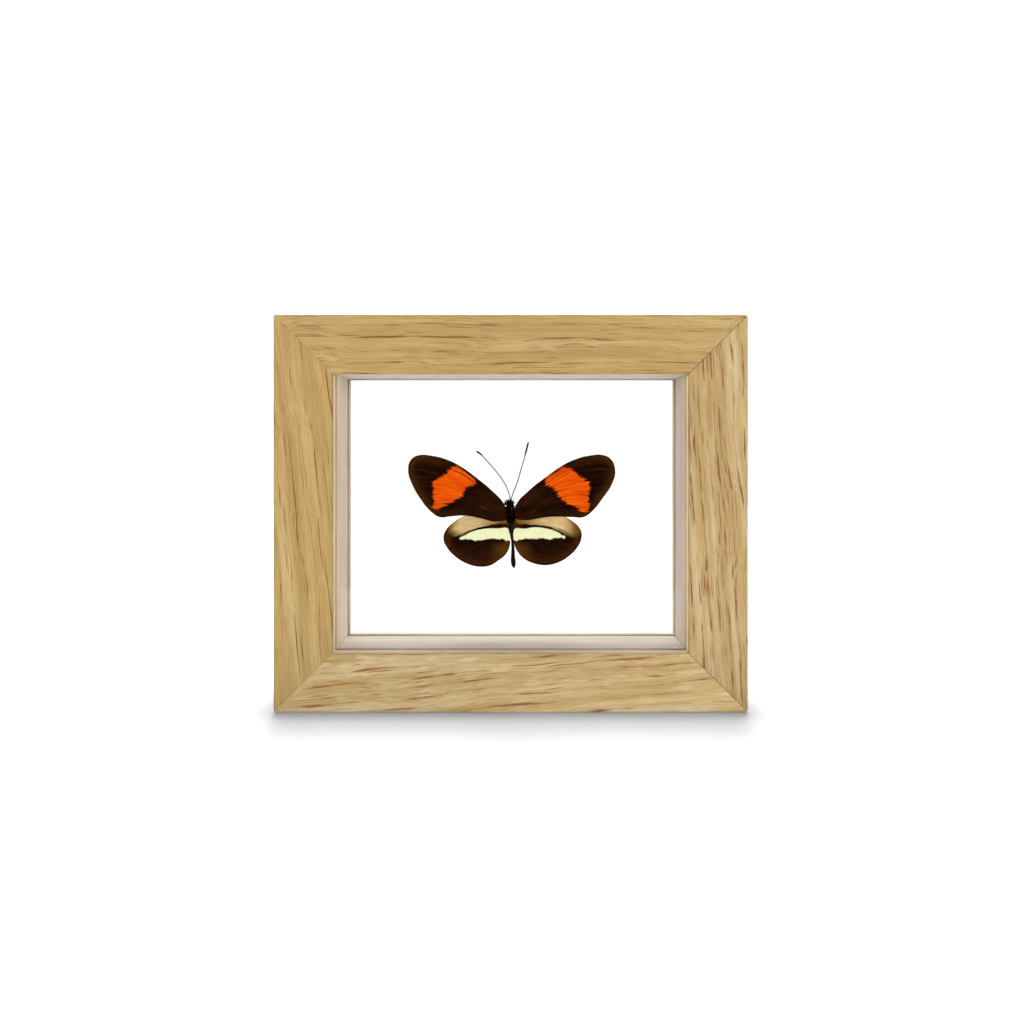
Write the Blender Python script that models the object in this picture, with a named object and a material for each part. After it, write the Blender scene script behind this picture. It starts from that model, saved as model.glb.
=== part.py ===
"""Framed butterfly: a spread longwing butterfly between two clear panes in a small oak shadow-box frame.

Units are metres and +Z is up. The frame stands on Z = 0, centred on X = 0 and Y = 0, and its front
looks towards -Y. The butterfly's upper side looks the same way.
"""

import math

import bmesh
import bpy
from mathutils import Vector

MM = 0.001

# Driving sizes of the frame
FRAME_WIDTH = 0.150
FRAME_HEIGHT = 0.1257
FRAME_DEPTH = 0.030
FACE_WIDTH = 0.0187
LIP_THICKNESS = 0.0043
REBATE_WIDTH = 0.005
GLASS_THICKNESS = 0.002
LINING_DEPTH = 0.0176
GAP = 0.0003
MITRE_GAP = 0.0003
WOOD_ARRIS = 0.0007
STRIP_ARRIS = 0.0003
ARC_STEPS = 3

# Depths behind the front face of the frame
FRONT_GLASS_AT = LIP_THICKNESS + GAP
LINING_AT = FRONT_GLASS_AT + GLASS_THICKNESS + GAP
BACK_GLASS_AT = LINING_AT + LINING_DEPTH + GAP
STOP_AT = BACK_GLASS_AT + GLASS_THICKNESS + GAP

# Distances in from the frame's outer edge
REBATE_AT = FACE_WIDTH - REBATE_WIDTH
INSERT_AT = REBATE_AT + GAP
LINING_TO = FACE_WIDTH - 0.0002

# Driving sizes of the butterfly: its thorax is the origin of the outlines, which are in millimetres
SPECIMEN_X = -0.00011
SPECIMEN_Z = 0.06007
SPECIMEN_Y = 0.0071
WING_THICKNESS = 0.0003
FOREWING_DEPTH = -0.0008
HINDWING_DEPTH = -0.0002
DIHEDRAL = math.radians(2)
OUTLINE_STEPS = 6
THORAX_RADII = (1.36, 1.5, 3.1)
THORAX_RISE = 0.6
HEAD_AT = (-0.3, 0.0, 4.3)
HEAD_RADII = (0.9, 0.85, 0.8)
EYE_OFFSET = (0.68, -0.1, 0.05)
EYE_RADIUS = 0.48
ANTENNA_DEPTH = -0.35
GLUE_RADIUS = 0.0007

FOREWING_LEFT = [
    (-1.2, -0.3), (-2.4, 4.1), (-6.8, 9.0), (-12.0, 13.3), (-17.1, 17.0), (-22.2, 19.5), (-27.1, 20.7),
    (-31.2, 20.9), (-34.0, 19.4), (-35.0, 15.7), (-33.6, 10.9), (-30.6, 5.7), (-27.1, 1.5), (-24.4, -0.2),
    (-20.6, 0.0), (-15.8, 0.3), (-10.5, -0.6), (-4.6, -1.7),
]
FOREWING_RIGHT = [
    (1.4, -0.3), (1.6, 3.6), (6.3, 9.0), (11.6, 13.2), (16.7, 16.9), (22.2, 19.6), (27.1, 20.8),
    (30.8, 21.0), (33.8, 19.7), (35.4, 15.8), (34.3, 11.1), (31.1, 6.2), (27.8, 2.0), (24.7, -0.2),
    (20.9, -0.2), (15.5, 0.0), (10.1, -0.5), (4.6, -1.3),
]
HINDWING_LEFT = [
    (-0.9, -1.0), (-5.3, 0.0), (-10.4, 0.9), (-15.2, 0.5), (-19.4, -1.8), (-22.1, -4.4), (-23.1, -7.5),
    (-21.9, -10.6), (-19.2, -13.6), (-15.4, -16.0), (-11.1, -17.2), (-7.4, -16.9), (-4.3, -15.1),
    (-1.9, -13.1), (-0.5, -10.2), (-0.3, -6.5),
]
HINDWING_RIGHT = [
    (1.0, -1.0), (6.0, 0.0), (11.7, 0.9), (16.9, 0.4), (20.8, -1.5), (23.6, -4.3), (24.1, -6.8),
    (22.8, -10.3), (19.7, -13.6), (15.7, -15.9), (11.7, -16.7), (7.7, -16.1), (4.4, -14.5),
    (2.1, -11.8), (1.3, -8.9), (1.1, -6.1),
]

# Routes through the butterfly's slender forms: x, depth, z and radius, in millimetres
ABDOMEN = [
    (0.0, 0.0, -1.0, 1.15), (0.1, 0.0, -4.1, 0.93), (0.4, 0.1, -6.3, 0.62), (0.6, 0.15, -8.2, 0.45),
    (0.9, 0.2, -11.6, 0.45), (0.85, 0.2, -14.0, 0.6), (0.9, 0.2, -16.2, 0.72), (1.0, 0.2, -17.3, 0.4),
    (1.0, 0.2, -17.7, 0.12),
]
PALPS = [
    [(-0.7, 0.2, 4.6, 0.32), (-0.95, 0.1, 5.1, 0.3), (-1.1, 0.0, 5.6, 0.12)],
    [(-0.1, 0.2, 4.6, 0.32), (-0.1, 0.1, 5.1, 0.3), (-0.1, 0.05, 5.5, 0.12)],
]
LEG_ROUTE = [(0.5, 1.0, 0.0, 0.2), (1.55, 1.75, 0.5, 0.18), (1.9, 2.0, -0.6, 0.15), (1.3, 2.15, -2.6, 0.12)]
LEG_ROOTS = (2.0, 0.6, -0.8)
ANTENNA_LEFT = [
    (-0.2, 5.8), (-0.9, 8.2), (-2.2, 11.2), (-4.3, 14.3), (-7.0, 17.5), (-9.0, 19.8), (-10.4, 21.3),
    (-11.4, 22.1),
]
ANTENNA_RIGHT = [(0.0, 5.8), (0.9, 8.5), (2.2, 11.9), (3.2, 15.3), (4.3, 19.1), (5.1, 21.8), (6.0, 24.9)]
SHAFT_RADIUS = 0.11
CLUB_RADIUS = 0.22
CLUB_PART = 0.86


def clear_scene():
    for old in list(bpy.data.objects):
        bpy.data.objects.remove(old)


def new_collection(name):
    collection = bpy.data.collections.new(name)
    bpy.context.scene.collection.children.link(collection)
    return collection


def surface(name, colour, roughness, alpha=1.0):
    material = bpy.data.materials.new(name)
    material.use_nodes = True
    shader = material.node_tree.nodes["Principled BSDF"]
    shader.inputs["Base Color"].default_value = (*colour, 1.0)
    shader.inputs["Roughness"].default_value = roughness
    shader.inputs["Metallic"].default_value = 0.0
    shader.inputs["Alpha"].default_value = alpha
    material.diffuse_color = (*colour, alpha)
    return material


def rounded_section(corners):
    """The outline of a section with right-angled corners (x, y, radius), each rounded by its radius."""
    outline = []
    for index, (x, y, radius) in enumerate(corners):
        corner = Vector((x, y))
        if radius == 0:
            outline.append(corner)
            continue
        before = (Vector(corners[index - 1][:2]) - corner).normalized()
        after = (Vector(corners[(index + 1) % len(corners)][:2]) - corner).normalized()
        centre = corner + (before + after) * radius
        for step in range(ARC_STEPS + 1):
            turn = math.radians(90) * step / ARC_STEPS
            outline.append(centre - radius * (after * math.cos(turn) + before * math.sin(turn)))
    return outline


def flat_curve(name, outline, thickness, smooth):
    """A filled 2D curve around an outline, as thick as given: straight runs, or one smooth loop."""
    curve = bpy.data.curves.new(name, "CURVE")
    curve.dimensions = "2D"
    curve.fill_mode = "BOTH"
    curve.extrude = thickness / 2
    curve.resolution_u = OUTLINE_STEPS
    spline = curve.splines.new("BEZIER" if smooth else "POLY")
    points = spline.bezier_points if smooth else spline.points
    points.add(len(outline) - 1)
    for point, (x, y) in zip(points, outline):
        if smooth:
            point.co = (x, y, 0)
            point.handle_left_type = "AUTO"
            point.handle_right_type = "AUTO"
        else:
            point.co = (x, y, 0, 1)
    spline.use_cyclic_u = True
    return bpy.data.objects.new(name, curve)


def tube_curve(name, route, sides):
    """A round bar along a smooth route of (x, y, z, radius), in millimetres."""
    curve = bpy.data.curves.new(name, "CURVE")
    curve.dimensions = "3D"
    curve.bevel_depth = MM
    curve.bevel_resolution = (sides - 4) // 2
    curve.use_fill_caps = True
    stations = smooth_route(route)
    spline = curve.splines.new("POLY")
    spline.points.add(len(stations) - 1)
    for point, (x, y, z, radius) in zip(spline.points, stations):
        point.co = (x * MM, y * MM, z * MM, 1)
        point.radius = radius
    return bpy.data.objects.new(name, curve)


def smooth_route(route, steps=3):
    """Catmull-Rom stations through the route's own points."""
    points = [Vector(point) for point in route]
    ends = [points[0] * 2 - points[1], *points, points[-1] * 2 - points[-2]]
    stations = []
    for a, b, c, d in zip(ends, ends[1:], ends[2:], ends[3:]):
        for step in range(steps):
            t = step / steps
            bend = 2 * b + (c - a) * t + (2 * a - 5 * b + 4 * c - d) * t**2 + (3 * b - a - 3 * c + d) * t**3
            stations.append(bend / 2)
    return [*stations, points[-1]]


def as_mesh(curve_object, collection):
    """Turns a curve object into a closed mesh object of the same name and place."""
    bpy.context.scene.collection.objects.link(curve_object)
    bpy.context.view_layer.update()
    evaluated = curve_object.evaluated_get(bpy.context.evaluated_depsgraph_get())
    mesh = bpy.data.meshes.new_from_object(evaluated)
    name = curve_object.name
    place = curve_object.matrix_world.copy()
    bpy.data.objects.remove(curve_object)
    edit = bmesh.new()
    edit.from_mesh(mesh)
    bmesh.ops.remove_doubles(edit, verts=edit.verts, dist=1e-7)
    bmesh.ops.recalc_face_normals(edit, faces=edit.faces)
    edit.to_mesh(mesh)
    edit.free()
    made = bpy.data.objects.new(name, mesh)
    made.matrix_world = place
    collection.objects.link(made)
    return made


def finish(made, material, smooth=False):
    made.data.materials.clear()
    made.data.materials.append(material)
    if smooth:
        made.data.shade_smooth()
        made.data.set_sharp_from_angle(angle=math.radians(40))
    return made


def cut_mitres(mesh, length):
    """Cuts both ends at 45 degrees. Local X runs in from the frame's outer edge and Z along the bar."""
    edit = bmesh.new()
    edit.from_mesh(mesh)
    for end in (-1, 1):
        across = Vector((1, 0, end)).normalized()
        corner = Vector((0, 0, end * length / 2)) - across * MITRE_GAP / 2
        everything = [*edit.verts, *edit.edges, *edit.faces]
        cut = bmesh.ops.bisect_plane(edit, geom=everything, plane_co=corner, plane_no=across, clear_outer=True)
        rim = [item for item in cut["geom_cut"] if isinstance(item, bmesh.types.BMEdge)]
        bmesh.ops.edgeloop_fill(edit, edges=rim)
    bmesh.ops.recalc_face_normals(edit, faces=edit.faces)
    edit.to_mesh(mesh)
    edit.free()


def mitred_ring(name, corners, material, collection):
    """Four bars around the frame with one section. Their corners are (in from the edge, depth, radius)."""
    sides = {
        "top": ((0, FRAME_HEIGHT), 90, FRAME_WIDTH),
        "bottom": ((0, 0), -90, FRAME_WIDTH),
        "left": ((-FRAME_WIDTH / 2, FRAME_HEIGHT / 2), 0, FRAME_HEIGHT),
        "right": ((FRAME_WIDTH / 2, FRAME_HEIGHT / 2), 180, FRAME_HEIGHT),
    }
    for side, ((x, z), turn, length) in sides.items():
        bar = flat_curve(f"{name}_{side}", rounded_section(corners), length, smooth=False)
        bar = as_mesh(bar, collection)
        cut_mitres(bar.data, length)
        bar.location = (x, -FRAME_DEPTH / 2, z)
        bar.rotation_euler = (0, math.radians(turn), 0)
        finish(bar, material)


def make_rails(collection):
    oak = surface("pale_oak", (0.533, 0.356, 0.153), 0.6)
    corners = [
        (0, 0, WOOD_ARRIS),
        (FACE_WIDTH, 0, WOOD_ARRIS),
        (FACE_WIDTH, LIP_THICKNESS, 0),
        (REBATE_AT, LIP_THICKNESS, 0),
        (REBATE_AT, FRAME_DEPTH, 0),
        (0, FRAME_DEPTH, WOOD_ARRIS),
    ]
    mitred_ring("rail", corners, oak, collection)


def make_linings(collection):
    lining = surface("pale_lining", (0.591, 0.485, 0.376), 0.7)
    corners = [
        (INSERT_AT, LINING_AT, 0),
        (LINING_TO, LINING_AT, STRIP_ARRIS),
        (LINING_TO, LINING_AT + LINING_DEPTH, STRIP_ARRIS),
        (INSERT_AT, LINING_AT + LINING_DEPTH, 0),
    ]
    mitred_ring("lining", corners, lining, collection)


def make_back_stops(collection):
    stop_wood = surface("stop_wood", (0.644, 0.546, 0.434), 0.6)
    corners = [
        (INSERT_AT, STOP_AT, 0),
        (FACE_WIDTH, STOP_AT, STRIP_ARRIS),
        (FACE_WIDTH, FRAME_DEPTH, STRIP_ARRIS),
        (INSERT_AT, FRAME_DEPTH, 0),
    ]
    mitred_ring("back_stop", corners, stop_wood, collection)


def make_panes(collection):
    glass = surface("clear_glass", (0.95, 0.97, 0.96), 0.02, alpha=0.25)
    width = FRAME_WIDTH - 2 * INSERT_AT
    height = FRAME_HEIGHT - 2 * INSERT_AT
    for name, depth in (("glass_front", FRONT_GLASS_AT), ("glass_back", BACK_GLASS_AT)):
        edit = bmesh.new()
        bmesh.ops.create_cube(edit, size=1)
        bmesh.ops.scale(edit, vec=(width, GLASS_THICKNESS, height), verts=edit.verts)
        mesh = bpy.data.meshes.new(name)
        edit.to_mesh(mesh)
        edit.free()
        pane = bpy.data.objects.new(name, mesh)
        pane.location = (0, depth + GLASS_THICKNESS / 2 - FRAME_DEPTH / 2, FRAME_HEIGHT / 2)
        collection.objects.link(pane)
        finish(pane, glass)


def ball(name, centre, radii, collection, rings=8):
    """An ellipsoid, in millimetres."""
    edit = bmesh.new()
    bmesh.ops.create_uvsphere(edit, u_segments=2 * rings, v_segments=rings, radius=MM)
    bmesh.ops.scale(edit, vec=radii, verts=edit.verts)
    bmesh.ops.translate(edit, vec=Vector(centre) * MM, verts=edit.verts)
    mesh = bpy.data.meshes.new(name)
    edit.to_mesh(mesh)
    edit.free()
    made = bpy.data.objects.new(name, mesh)
    collection.objects.link(made)
    return made


def grown(route, extra):
    return [(x, y, z, radius + extra) for x, y, z, radius in route]


def hide_helper(helper, origin):
    helper.hide_render = True
    helper.display_type = "WIRE"
    helper.parent = origin


def leg_routes():
    """The folded legs under the thorax: three on each side, each a little further back."""
    for side in (-1, 1):
        for root in LEG_ROOTS:
            yield [(side * x, y, root + z, radius) for x, y, z, radius in LEG_ROUTE]


def make_body(origin, collection, helpers):
    """Head, eyes, palps, thorax, legs and abdomen, joined into one solid."""
    fur = surface("body_fur", (0.012, 0.010, 0.008), 0.75)
    body = ball("butterfly_body", (0, 0, THORAX_RISE), THORAX_RADII, collection, rings=10)
    body.parent = origin
    forms = [ball("head_form", HEAD_AT, HEAD_RADII, helpers)]
    for side in (-1, 1):
        centre = (HEAD_AT[0] + side * EYE_OFFSET[0], HEAD_AT[1] + EYE_OFFSET[1], HEAD_AT[2] + EYE_OFFSET[2])
        forms.append(ball("eye_form", centre, [EYE_RADIUS] * 3, helpers, rings=6))
    forms.append(as_mesh(tube_curve("abdomen_form", ABDOMEN, 12), helpers))
    for route in PALPS:
        forms.append(as_mesh(tube_curve("palp_form", route, 6), helpers))
    for route in leg_routes():
        forms.append(as_mesh(tube_curve("leg_form", route, 6), helpers))
    for form in forms:
        hide_helper(form, origin)
        union = body.modifiers.new(f"join_{form.name}", "BOOLEAN")
        union.operation = "UNION"
        union.solver = "EXACT"
        union.object = form
    finish(body, fur, smooth=True)


def make_wings(origin, collection, helpers):
    """Four thin plates, each cut clear of the body by the gap that all pieces keep."""
    brown = surface("wing_scales", (0.045, 0.021, 0.008), 0.7)
    room = [radius + GAP / MM for radius in THORAX_RADII]
    clearances = [
        ball("thorax_room", (0, 0, THORAX_RISE), room, helpers, rings=10),
        as_mesh(tube_curve("abdomen_room", grown(ABDOMEN, GAP / MM), 12), helpers),
    ]
    for clearance in clearances:
        hide_helper(clearance, origin)
    wings = {
        "forewing_left": (FOREWING_LEFT, FOREWING_DEPTH, DIHEDRAL),
        "forewing_right": (FOREWING_RIGHT, FOREWING_DEPTH, -DIHEDRAL),
        "hindwing_left": (HINDWING_LEFT, HINDWING_DEPTH, DIHEDRAL),
        "hindwing_right": (HINDWING_RIGHT, HINDWING_DEPTH, -DIHEDRAL),
    }
    for name, (outline, depth, turn) in wings.items():
        outline = [(x * MM, y * MM) for x, y in outline]
        wing = as_mesh(flat_curve(name, outline, WING_THICKNESS, smooth=True), collection)
        wing.location = (0, depth, 0)
        wing.rotation_euler = (math.radians(90), 0, turn)
        wing.parent = origin
        for clearance in clearances:
            cut = wing.modifiers.new(f"clear_{clearance.name}", "BOOLEAN")
            cut.operation = "DIFFERENCE"
            cut.solver = "EXACT"
            cut.object = clearance
        finish(wing, brown)


def make_antennae(origin, collection):
    horn = surface("antenna_horn", (0.05, 0.035, 0.03), 0.5)
    for name, path in (("antenna_left", ANTENNA_LEFT), ("antenna_right", ANTENNA_RIGHT)):
        last = len(path) - 1
        route = []
        for index, (x, z) in enumerate(path):
            radius = CLUB_RADIUS if index / last >= CLUB_PART else SHAFT_RADIUS
            route.append((x, ANTENNA_DEPTH, z, radius))
        antenna = as_mesh(tube_curve(name, route, 8), collection)
        antenna.parent = origin
        finish(antenna, horn, smooth=True)


def make_glue_spot(collection):
    """A flat drop of clear glue from behind the thorax to the back pane."""
    glue = surface("clear_glue", (0.9, 0.9, 0.85), 0.1, alpha=0.5)
    front = SPECIMEN_Y + THORAX_RADII[1] * MM + GAP
    back = BACK_GLASS_AT - FRAME_DEPTH / 2 - GAP
    edit = bmesh.new()
    bmesh.ops.create_cone(
        edit, cap_ends=True, segments=24, radius1=GLUE_RADIUS * 1.35, radius2=GLUE_RADIUS, depth=back - front
    )
    mesh = bpy.data.meshes.new("glue_spot")
    edit.to_mesh(mesh)
    edit.free()
    spot = bpy.data.objects.new("glue_spot", mesh)
    spot.location = (SPECIMEN_X, (front + back) / 2, SPECIMEN_Z + THORAX_RISE * MM)
    spot.rotation_euler = (math.radians(90), 0, 0)
    collection.objects.link(spot)
    finish(spot, glue)


def main():
    clear_scene()
    collection = new_collection("framed_butterfly")
    helpers = new_collection("cutters_and_forms")
    helpers.hide_render = True
    make_rails(collection)
    make_linings(collection)
    make_back_stops(collection)
    make_panes(collection)
    origin = bpy.data.objects.new("specimen_origin", None)
    origin.location = (SPECIMEN_X, SPECIMEN_Y, SPECIMEN_Z)
    collection.objects.link(origin)
    make_body(origin, collection, helpers)
    make_wings(origin, collection, helpers)
    make_antennae(origin, collection)
    make_glue_spot(collection)


main()
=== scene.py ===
"""Framed butterfly: the looks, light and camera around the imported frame.

Lengths are in millimetres unless a name ends in _m. MM turns them into Blender's metres. X is to the
viewer's right, Y goes from the front of the frame to its back and Z is up.
"""

import functools
import math
import random

import bmesh
import bpy
from mathutils import Matrix, Vector, kdtree


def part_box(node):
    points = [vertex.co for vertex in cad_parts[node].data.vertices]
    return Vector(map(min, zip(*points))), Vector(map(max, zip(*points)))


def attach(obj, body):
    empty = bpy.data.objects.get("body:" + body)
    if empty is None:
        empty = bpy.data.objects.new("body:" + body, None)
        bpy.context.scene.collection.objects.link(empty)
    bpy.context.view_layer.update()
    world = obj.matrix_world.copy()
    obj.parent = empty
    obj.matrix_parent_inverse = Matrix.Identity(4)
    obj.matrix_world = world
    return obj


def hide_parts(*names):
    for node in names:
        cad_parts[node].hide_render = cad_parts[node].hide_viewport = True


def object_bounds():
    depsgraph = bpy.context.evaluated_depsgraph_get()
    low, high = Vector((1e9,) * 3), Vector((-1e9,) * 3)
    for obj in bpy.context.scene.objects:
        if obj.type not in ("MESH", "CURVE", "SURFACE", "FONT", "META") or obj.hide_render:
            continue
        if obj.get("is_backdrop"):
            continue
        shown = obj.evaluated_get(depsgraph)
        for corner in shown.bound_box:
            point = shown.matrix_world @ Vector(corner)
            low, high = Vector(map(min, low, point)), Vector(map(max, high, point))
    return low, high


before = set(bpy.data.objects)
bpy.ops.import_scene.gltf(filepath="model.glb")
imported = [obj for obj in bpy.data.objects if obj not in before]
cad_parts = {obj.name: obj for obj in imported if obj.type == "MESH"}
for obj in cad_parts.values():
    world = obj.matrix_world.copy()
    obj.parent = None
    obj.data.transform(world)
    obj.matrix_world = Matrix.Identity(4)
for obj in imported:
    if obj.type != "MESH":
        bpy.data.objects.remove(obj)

MM = 0.001
TOUCHING = 1e-4
CAD_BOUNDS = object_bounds()

# The frame, repeated from the CAD source
FRAME_WIDTH = 150.0
FRAME_HEIGHT = 125.7
FRAME_DEPTH = 30.0
FACE_WIDTH = 18.7
LIP_THICKNESS = 4.3
REBATE_AT = 13.7
INSERT_AT = 14.0
LINING_AT = 6.9
LINING_DEPTH = 17.6
LINING_TO = 18.5
STOP_AT = 27.1

# How the joiner left it: arrises, the rounding of the frame's corners and the play left at each bar's lower
# and upper local end. Also where the sight edge's painted highlight begins, and how far the strips' painted
# shade reaches from their front ends before their pale parts begin
WOOD_ARRIS = 0.7
SIGHT_ARRIS = 0.2
PAINTED_HIGHLIGHT_AT = 1.4
STRIP_ARRIS = 0.25
LINING_SHADE_DEPTH = 1.2
STOP_SHADE_DEPTH = 0.3
PANE_ARRIS = 0.25
CORNER_ROUNDING = 1.2
ON_SIGHT_EDGE = FACE_WIDTH - 0.05
TIGHT = 0.045
OPEN = 0.13
MITRE_PLAY = {"top": (TIGHT, OPEN), "bottom": (OPEN, TIGHT), "left": (TIGHT, TIGHT), "right": (OPEN, OPEN)}

# The butterfly, repeated from the CAD source. Its thorax is the origin of all outlines below.
SPECIMEN = Vector((-0.11, 7.1, 60.07))
DIHEDRAL = math.radians(2)
FOREWING_DEPTH = -0.8
HINDWING_DEPTH = -0.2
WING_THICKNESS = 0.1
WING_CROWN = 0.25
VEIN_RIDGE = 0.07
VEIN_RADIUS = 0.13
VEIN_TAPER = 0.05
ANTENNA_DEPTH = -0.35
ANTENNA_RADIUS = 0.16
CLUB_SWELL = 0.14
THORAX_RISE = 0.6
GLUE_FRONT = 8.9

FOREWING_LEFT = [
    (-1.2, -0.3), (-2.4, 4.1), (-6.8, 9.0), (-12.0, 13.3), (-17.1, 17.0), (-22.2, 19.5), (-27.1, 20.7),
    (-31.2, 20.9), (-34.0, 19.4), (-35.0, 15.7), (-33.6, 10.9), (-30.6, 5.7), (-27.1, 1.5), (-24.4, -0.2),
    (-20.6, 0.0), (-15.8, 0.3), (-10.5, -0.6), (-4.6, -1.7),
]
FOREWING_RIGHT = [
    (1.4, -0.3), (1.6, 3.6), (6.3, 9.0), (11.6, 13.2), (16.7, 16.9), (22.2, 19.6), (27.1, 20.8),
    (30.8, 21.0), (33.8, 19.7), (35.4, 15.8), (34.3, 11.1), (31.1, 6.2), (27.8, 2.0), (24.7, -0.2),
    (20.9, -0.2), (15.5, 0.0), (10.1, -0.5), (4.6, -1.3),
]
HINDWING_LEFT = [
    (-0.9, -1.0), (-5.3, 0.0), (-10.4, 0.9), (-15.2, 0.5), (-19.4, -1.8), (-22.1, -4.4), (-23.1, -7.5),
    (-21.9, -10.6), (-19.2, -13.6), (-15.4, -16.0), (-11.1, -17.2), (-7.4, -16.9), (-4.3, -15.1),
    (-1.9, -13.1), (-0.5, -10.2), (-0.3, -6.5),
]
HINDWING_RIGHT = [
    (1.0, -1.0), (6.0, 0.0), (11.7, 0.9), (16.9, 0.4), (20.8, -1.5), (23.6, -4.3), (24.1, -6.8),
    (22.8, -10.3), (19.7, -13.6), (15.7, -15.9), (11.7, -16.7), (7.7, -16.1), (4.4, -14.5),
    (2.0, -11.8), (1.0, -8.9), (0.75, -6.1),
]

# The outline points at a wing's corners: hind root, front root, front tip, hind tip
FOREWING_CORNERS = (0, 1, 8, 13)
HINDWING_CORNERS = (15, 0, 5, 10)

# Markings: the orange patch of each forewing, the cream bar and the buff border of each hindwing
PATCH_LEFT = [
    (-19.1, 17.35), (-16.9, 16.15), (-14.6, 14.5), (-12.6, 12.75), (-12.0, 11.2), (-13.6, 10.4), (-14.9, 9.9),
    (-16.3, 7.9), (-17.3, 6.4), (-19.5, 5.2), (-22.3, 3.8), (-25.4, 2.4), (-26.7, 3.3), (-26.3, 5.4),
    (-26.7, 8.2), (-26.5, 9.6), (-26.9, 11.1), (-26.2, 12.3), (-24.4, 13.1), (-22.7, 14.3), (-20.8, 16.0),
]
PATCH_RIGHT = [
    (18.4, 17.0), (15.7, 15.65), (13.4, 14.0), (11.9, 12.5), (11.9, 10.9), (13.8, 9.9), (15.2, 8.9),
    (16.2, 6.8), (17.7, 5.7), (19.4, 4.4), (22.0, 3.0), (25.9, 1.7), (26.9, 2.7), (26.4, 5.1), (26.7, 7.3),
    (26.8, 9.4), (26.8, 10.9), (26.0, 12.3), (23.7, 13.6), (22.3, 15.0), (20.1, 16.4),
]
BAR_LEFT = [
    (-17.7, -7.8), (-15.8, -6.3), (-13.1, -5.0), (-9.0, -4.1), (-4.6, -4.0), (-0.7, -4.3), (-0.2, -8.2),
    (-2.9, -8.0), (-5.6, -7.8), (-8.3, -7.9), (-10.9, -8.4), (-13.5, -8.2), (-15.3, -7.8),
]
BAR_RIGHT = [
    (1.0, -4.4), (4.6, -4.1), (8.3, -3.6), (12.4, -4.1), (15.5, -5.0), (17.4, -6.2), (18.6, -7.3),
    (17.0, -7.5), (15.3, -7.5), (13.1, -8.0), (11.2, -7.7), (8.3, -7.8), (6.0, -7.8), (3.2, -8.1),
    (1.1, -8.4),
]
BUFF_LEFT = [
    (-1.2, -0.7), (-4.6, 0.6), (-10.4, 2.2), (-15.8, 1.8), (-19.2, -1.4), (-20.8, -3.4), (-19.9, -5.3),
    (-17.5, -6.0), (-15.2, -5.3), (-11.7, -4.1), (-7.7, -3.2), (-3.9, -2.5), (-1.2, -2.0),
]
BUFF_RIGHT = [
    (1.4, -0.9), (4.6, 0.6), (11.7, 2.2), (17.2, 1.8), (20.3, -0.9), (22.3, -3.2), (22.6, -5.4),
    (20.6, -6.0), (17.9, -5.2), (14.5, -4.05), (10.0, -3.2), (5.3, -2.8), (1.9, -2.2),
]

# Veins as stations (along from root to tip, across from hind margin to front margin) of a wing
FOREWING_VEINS = [
    [(0.0, 0.93), (0.3, 0.94), (0.5, 0.955), (0.66, 0.99)],
    [(0.0, 0.79), (0.25, 0.84), (0.42, 0.875), (0.58, 0.88), (0.78, 0.91), (0.97, 0.955)],
    [(0.58, 0.88), (0.7, 0.93), (0.84, 0.985)],
    [(0.42, 0.875), (0.56, 0.93), (0.72, 0.985)],
    [(0.56, 0.88), (0.57, 0.76), (0.54, 0.64), (0.5, 0.56)],
    [(0.57, 0.84), (0.78, 0.8), (1.0, 0.8)],
    [(0.56, 0.72), (0.78, 0.66), (1.0, 0.63)],
    [(0.0, 0.42), (0.2, 0.44), (0.38, 0.49), (0.5, 0.56), (0.75, 0.49), (1.0, 0.46)],
    [(0.38, 0.49), (0.62, 0.36), (1.0, 0.3)],
    [(0.24, 0.45), (0.55, 0.22), (1.0, 0.14)],
    [(0.0, 0.1), (0.4, 0.08), (0.97, 0.035)],
]
HINDWING_VEINS = [
    [(0.0, 0.9), (0.3, 0.93), (0.7, 0.93), (1.0, 0.9)],
    [(0.0, 0.75), (0.2, 0.79), (0.36, 0.8), (0.7, 0.79), (1.0, 0.77)],
    [(0.36, 0.8), (0.38, 0.7), (0.35, 0.6), (0.31, 0.5)],
    [(0.38, 0.7), (0.7, 0.65), (1.0, 0.62)],
    [(0.35, 0.6), (0.7, 0.52), (1.0, 0.48)],
    [(0.0, 0.48), (0.18, 0.48), (0.31, 0.5), (0.7, 0.38), (1.0, 0.34)],
    [(0.2, 0.48), (0.6, 0.27), (1.0, 0.2)],
    [(0.0, 0.22), (0.4, 0.13), (0.97, 0.07)],
]

# Routes through the butterfly's slender forms: x, depth, z and radius
ABDOMEN = [
    (0.0, 0.0, -1.0, 1.15), (0.02, 0.0, -4.1, 1.0), (0.12, 0.1, -6.0, 0.72), (0.36, 0.15, -7.6, 0.5),
    (0.55, 0.15, -9.4, 0.52), (0.64, 0.2, -11.6, 0.62), (0.64, 0.2, -14.0, 0.74), (0.76, 0.2, -15.9, 0.9),
    (0.9, 0.2, -17.1, 0.55), (0.95, 0.2, -17.6, 0.12),
]
PALPS = [
    [(-0.7, 0.2, 4.6, 0.28), (-0.95, 0.1, 5.1, 0.24), (-1.15, 0.0, 5.6, 0.1)],
    [(-0.1, 0.2, 4.6, 0.28), (-0.08, 0.1, 5.1, 0.24), (-0.05, 0.05, 5.5, 0.1)],
]
LEG = [
    (0.5, 1.0, 0.0, 0.2), (1.2, 1.5, 0.4, 0.22), (1.75, 1.8, 0.55, 0.12), (1.95, 1.95, -0.1, 0.15),
    (1.85, 2.05, -1.1, 0.09), (1.6, 2.1, -1.9, 0.08), (1.3, 2.15, -2.6, 0.05),
]
LEG_ROOTS = (2.0, 0.6, -0.8)
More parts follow.
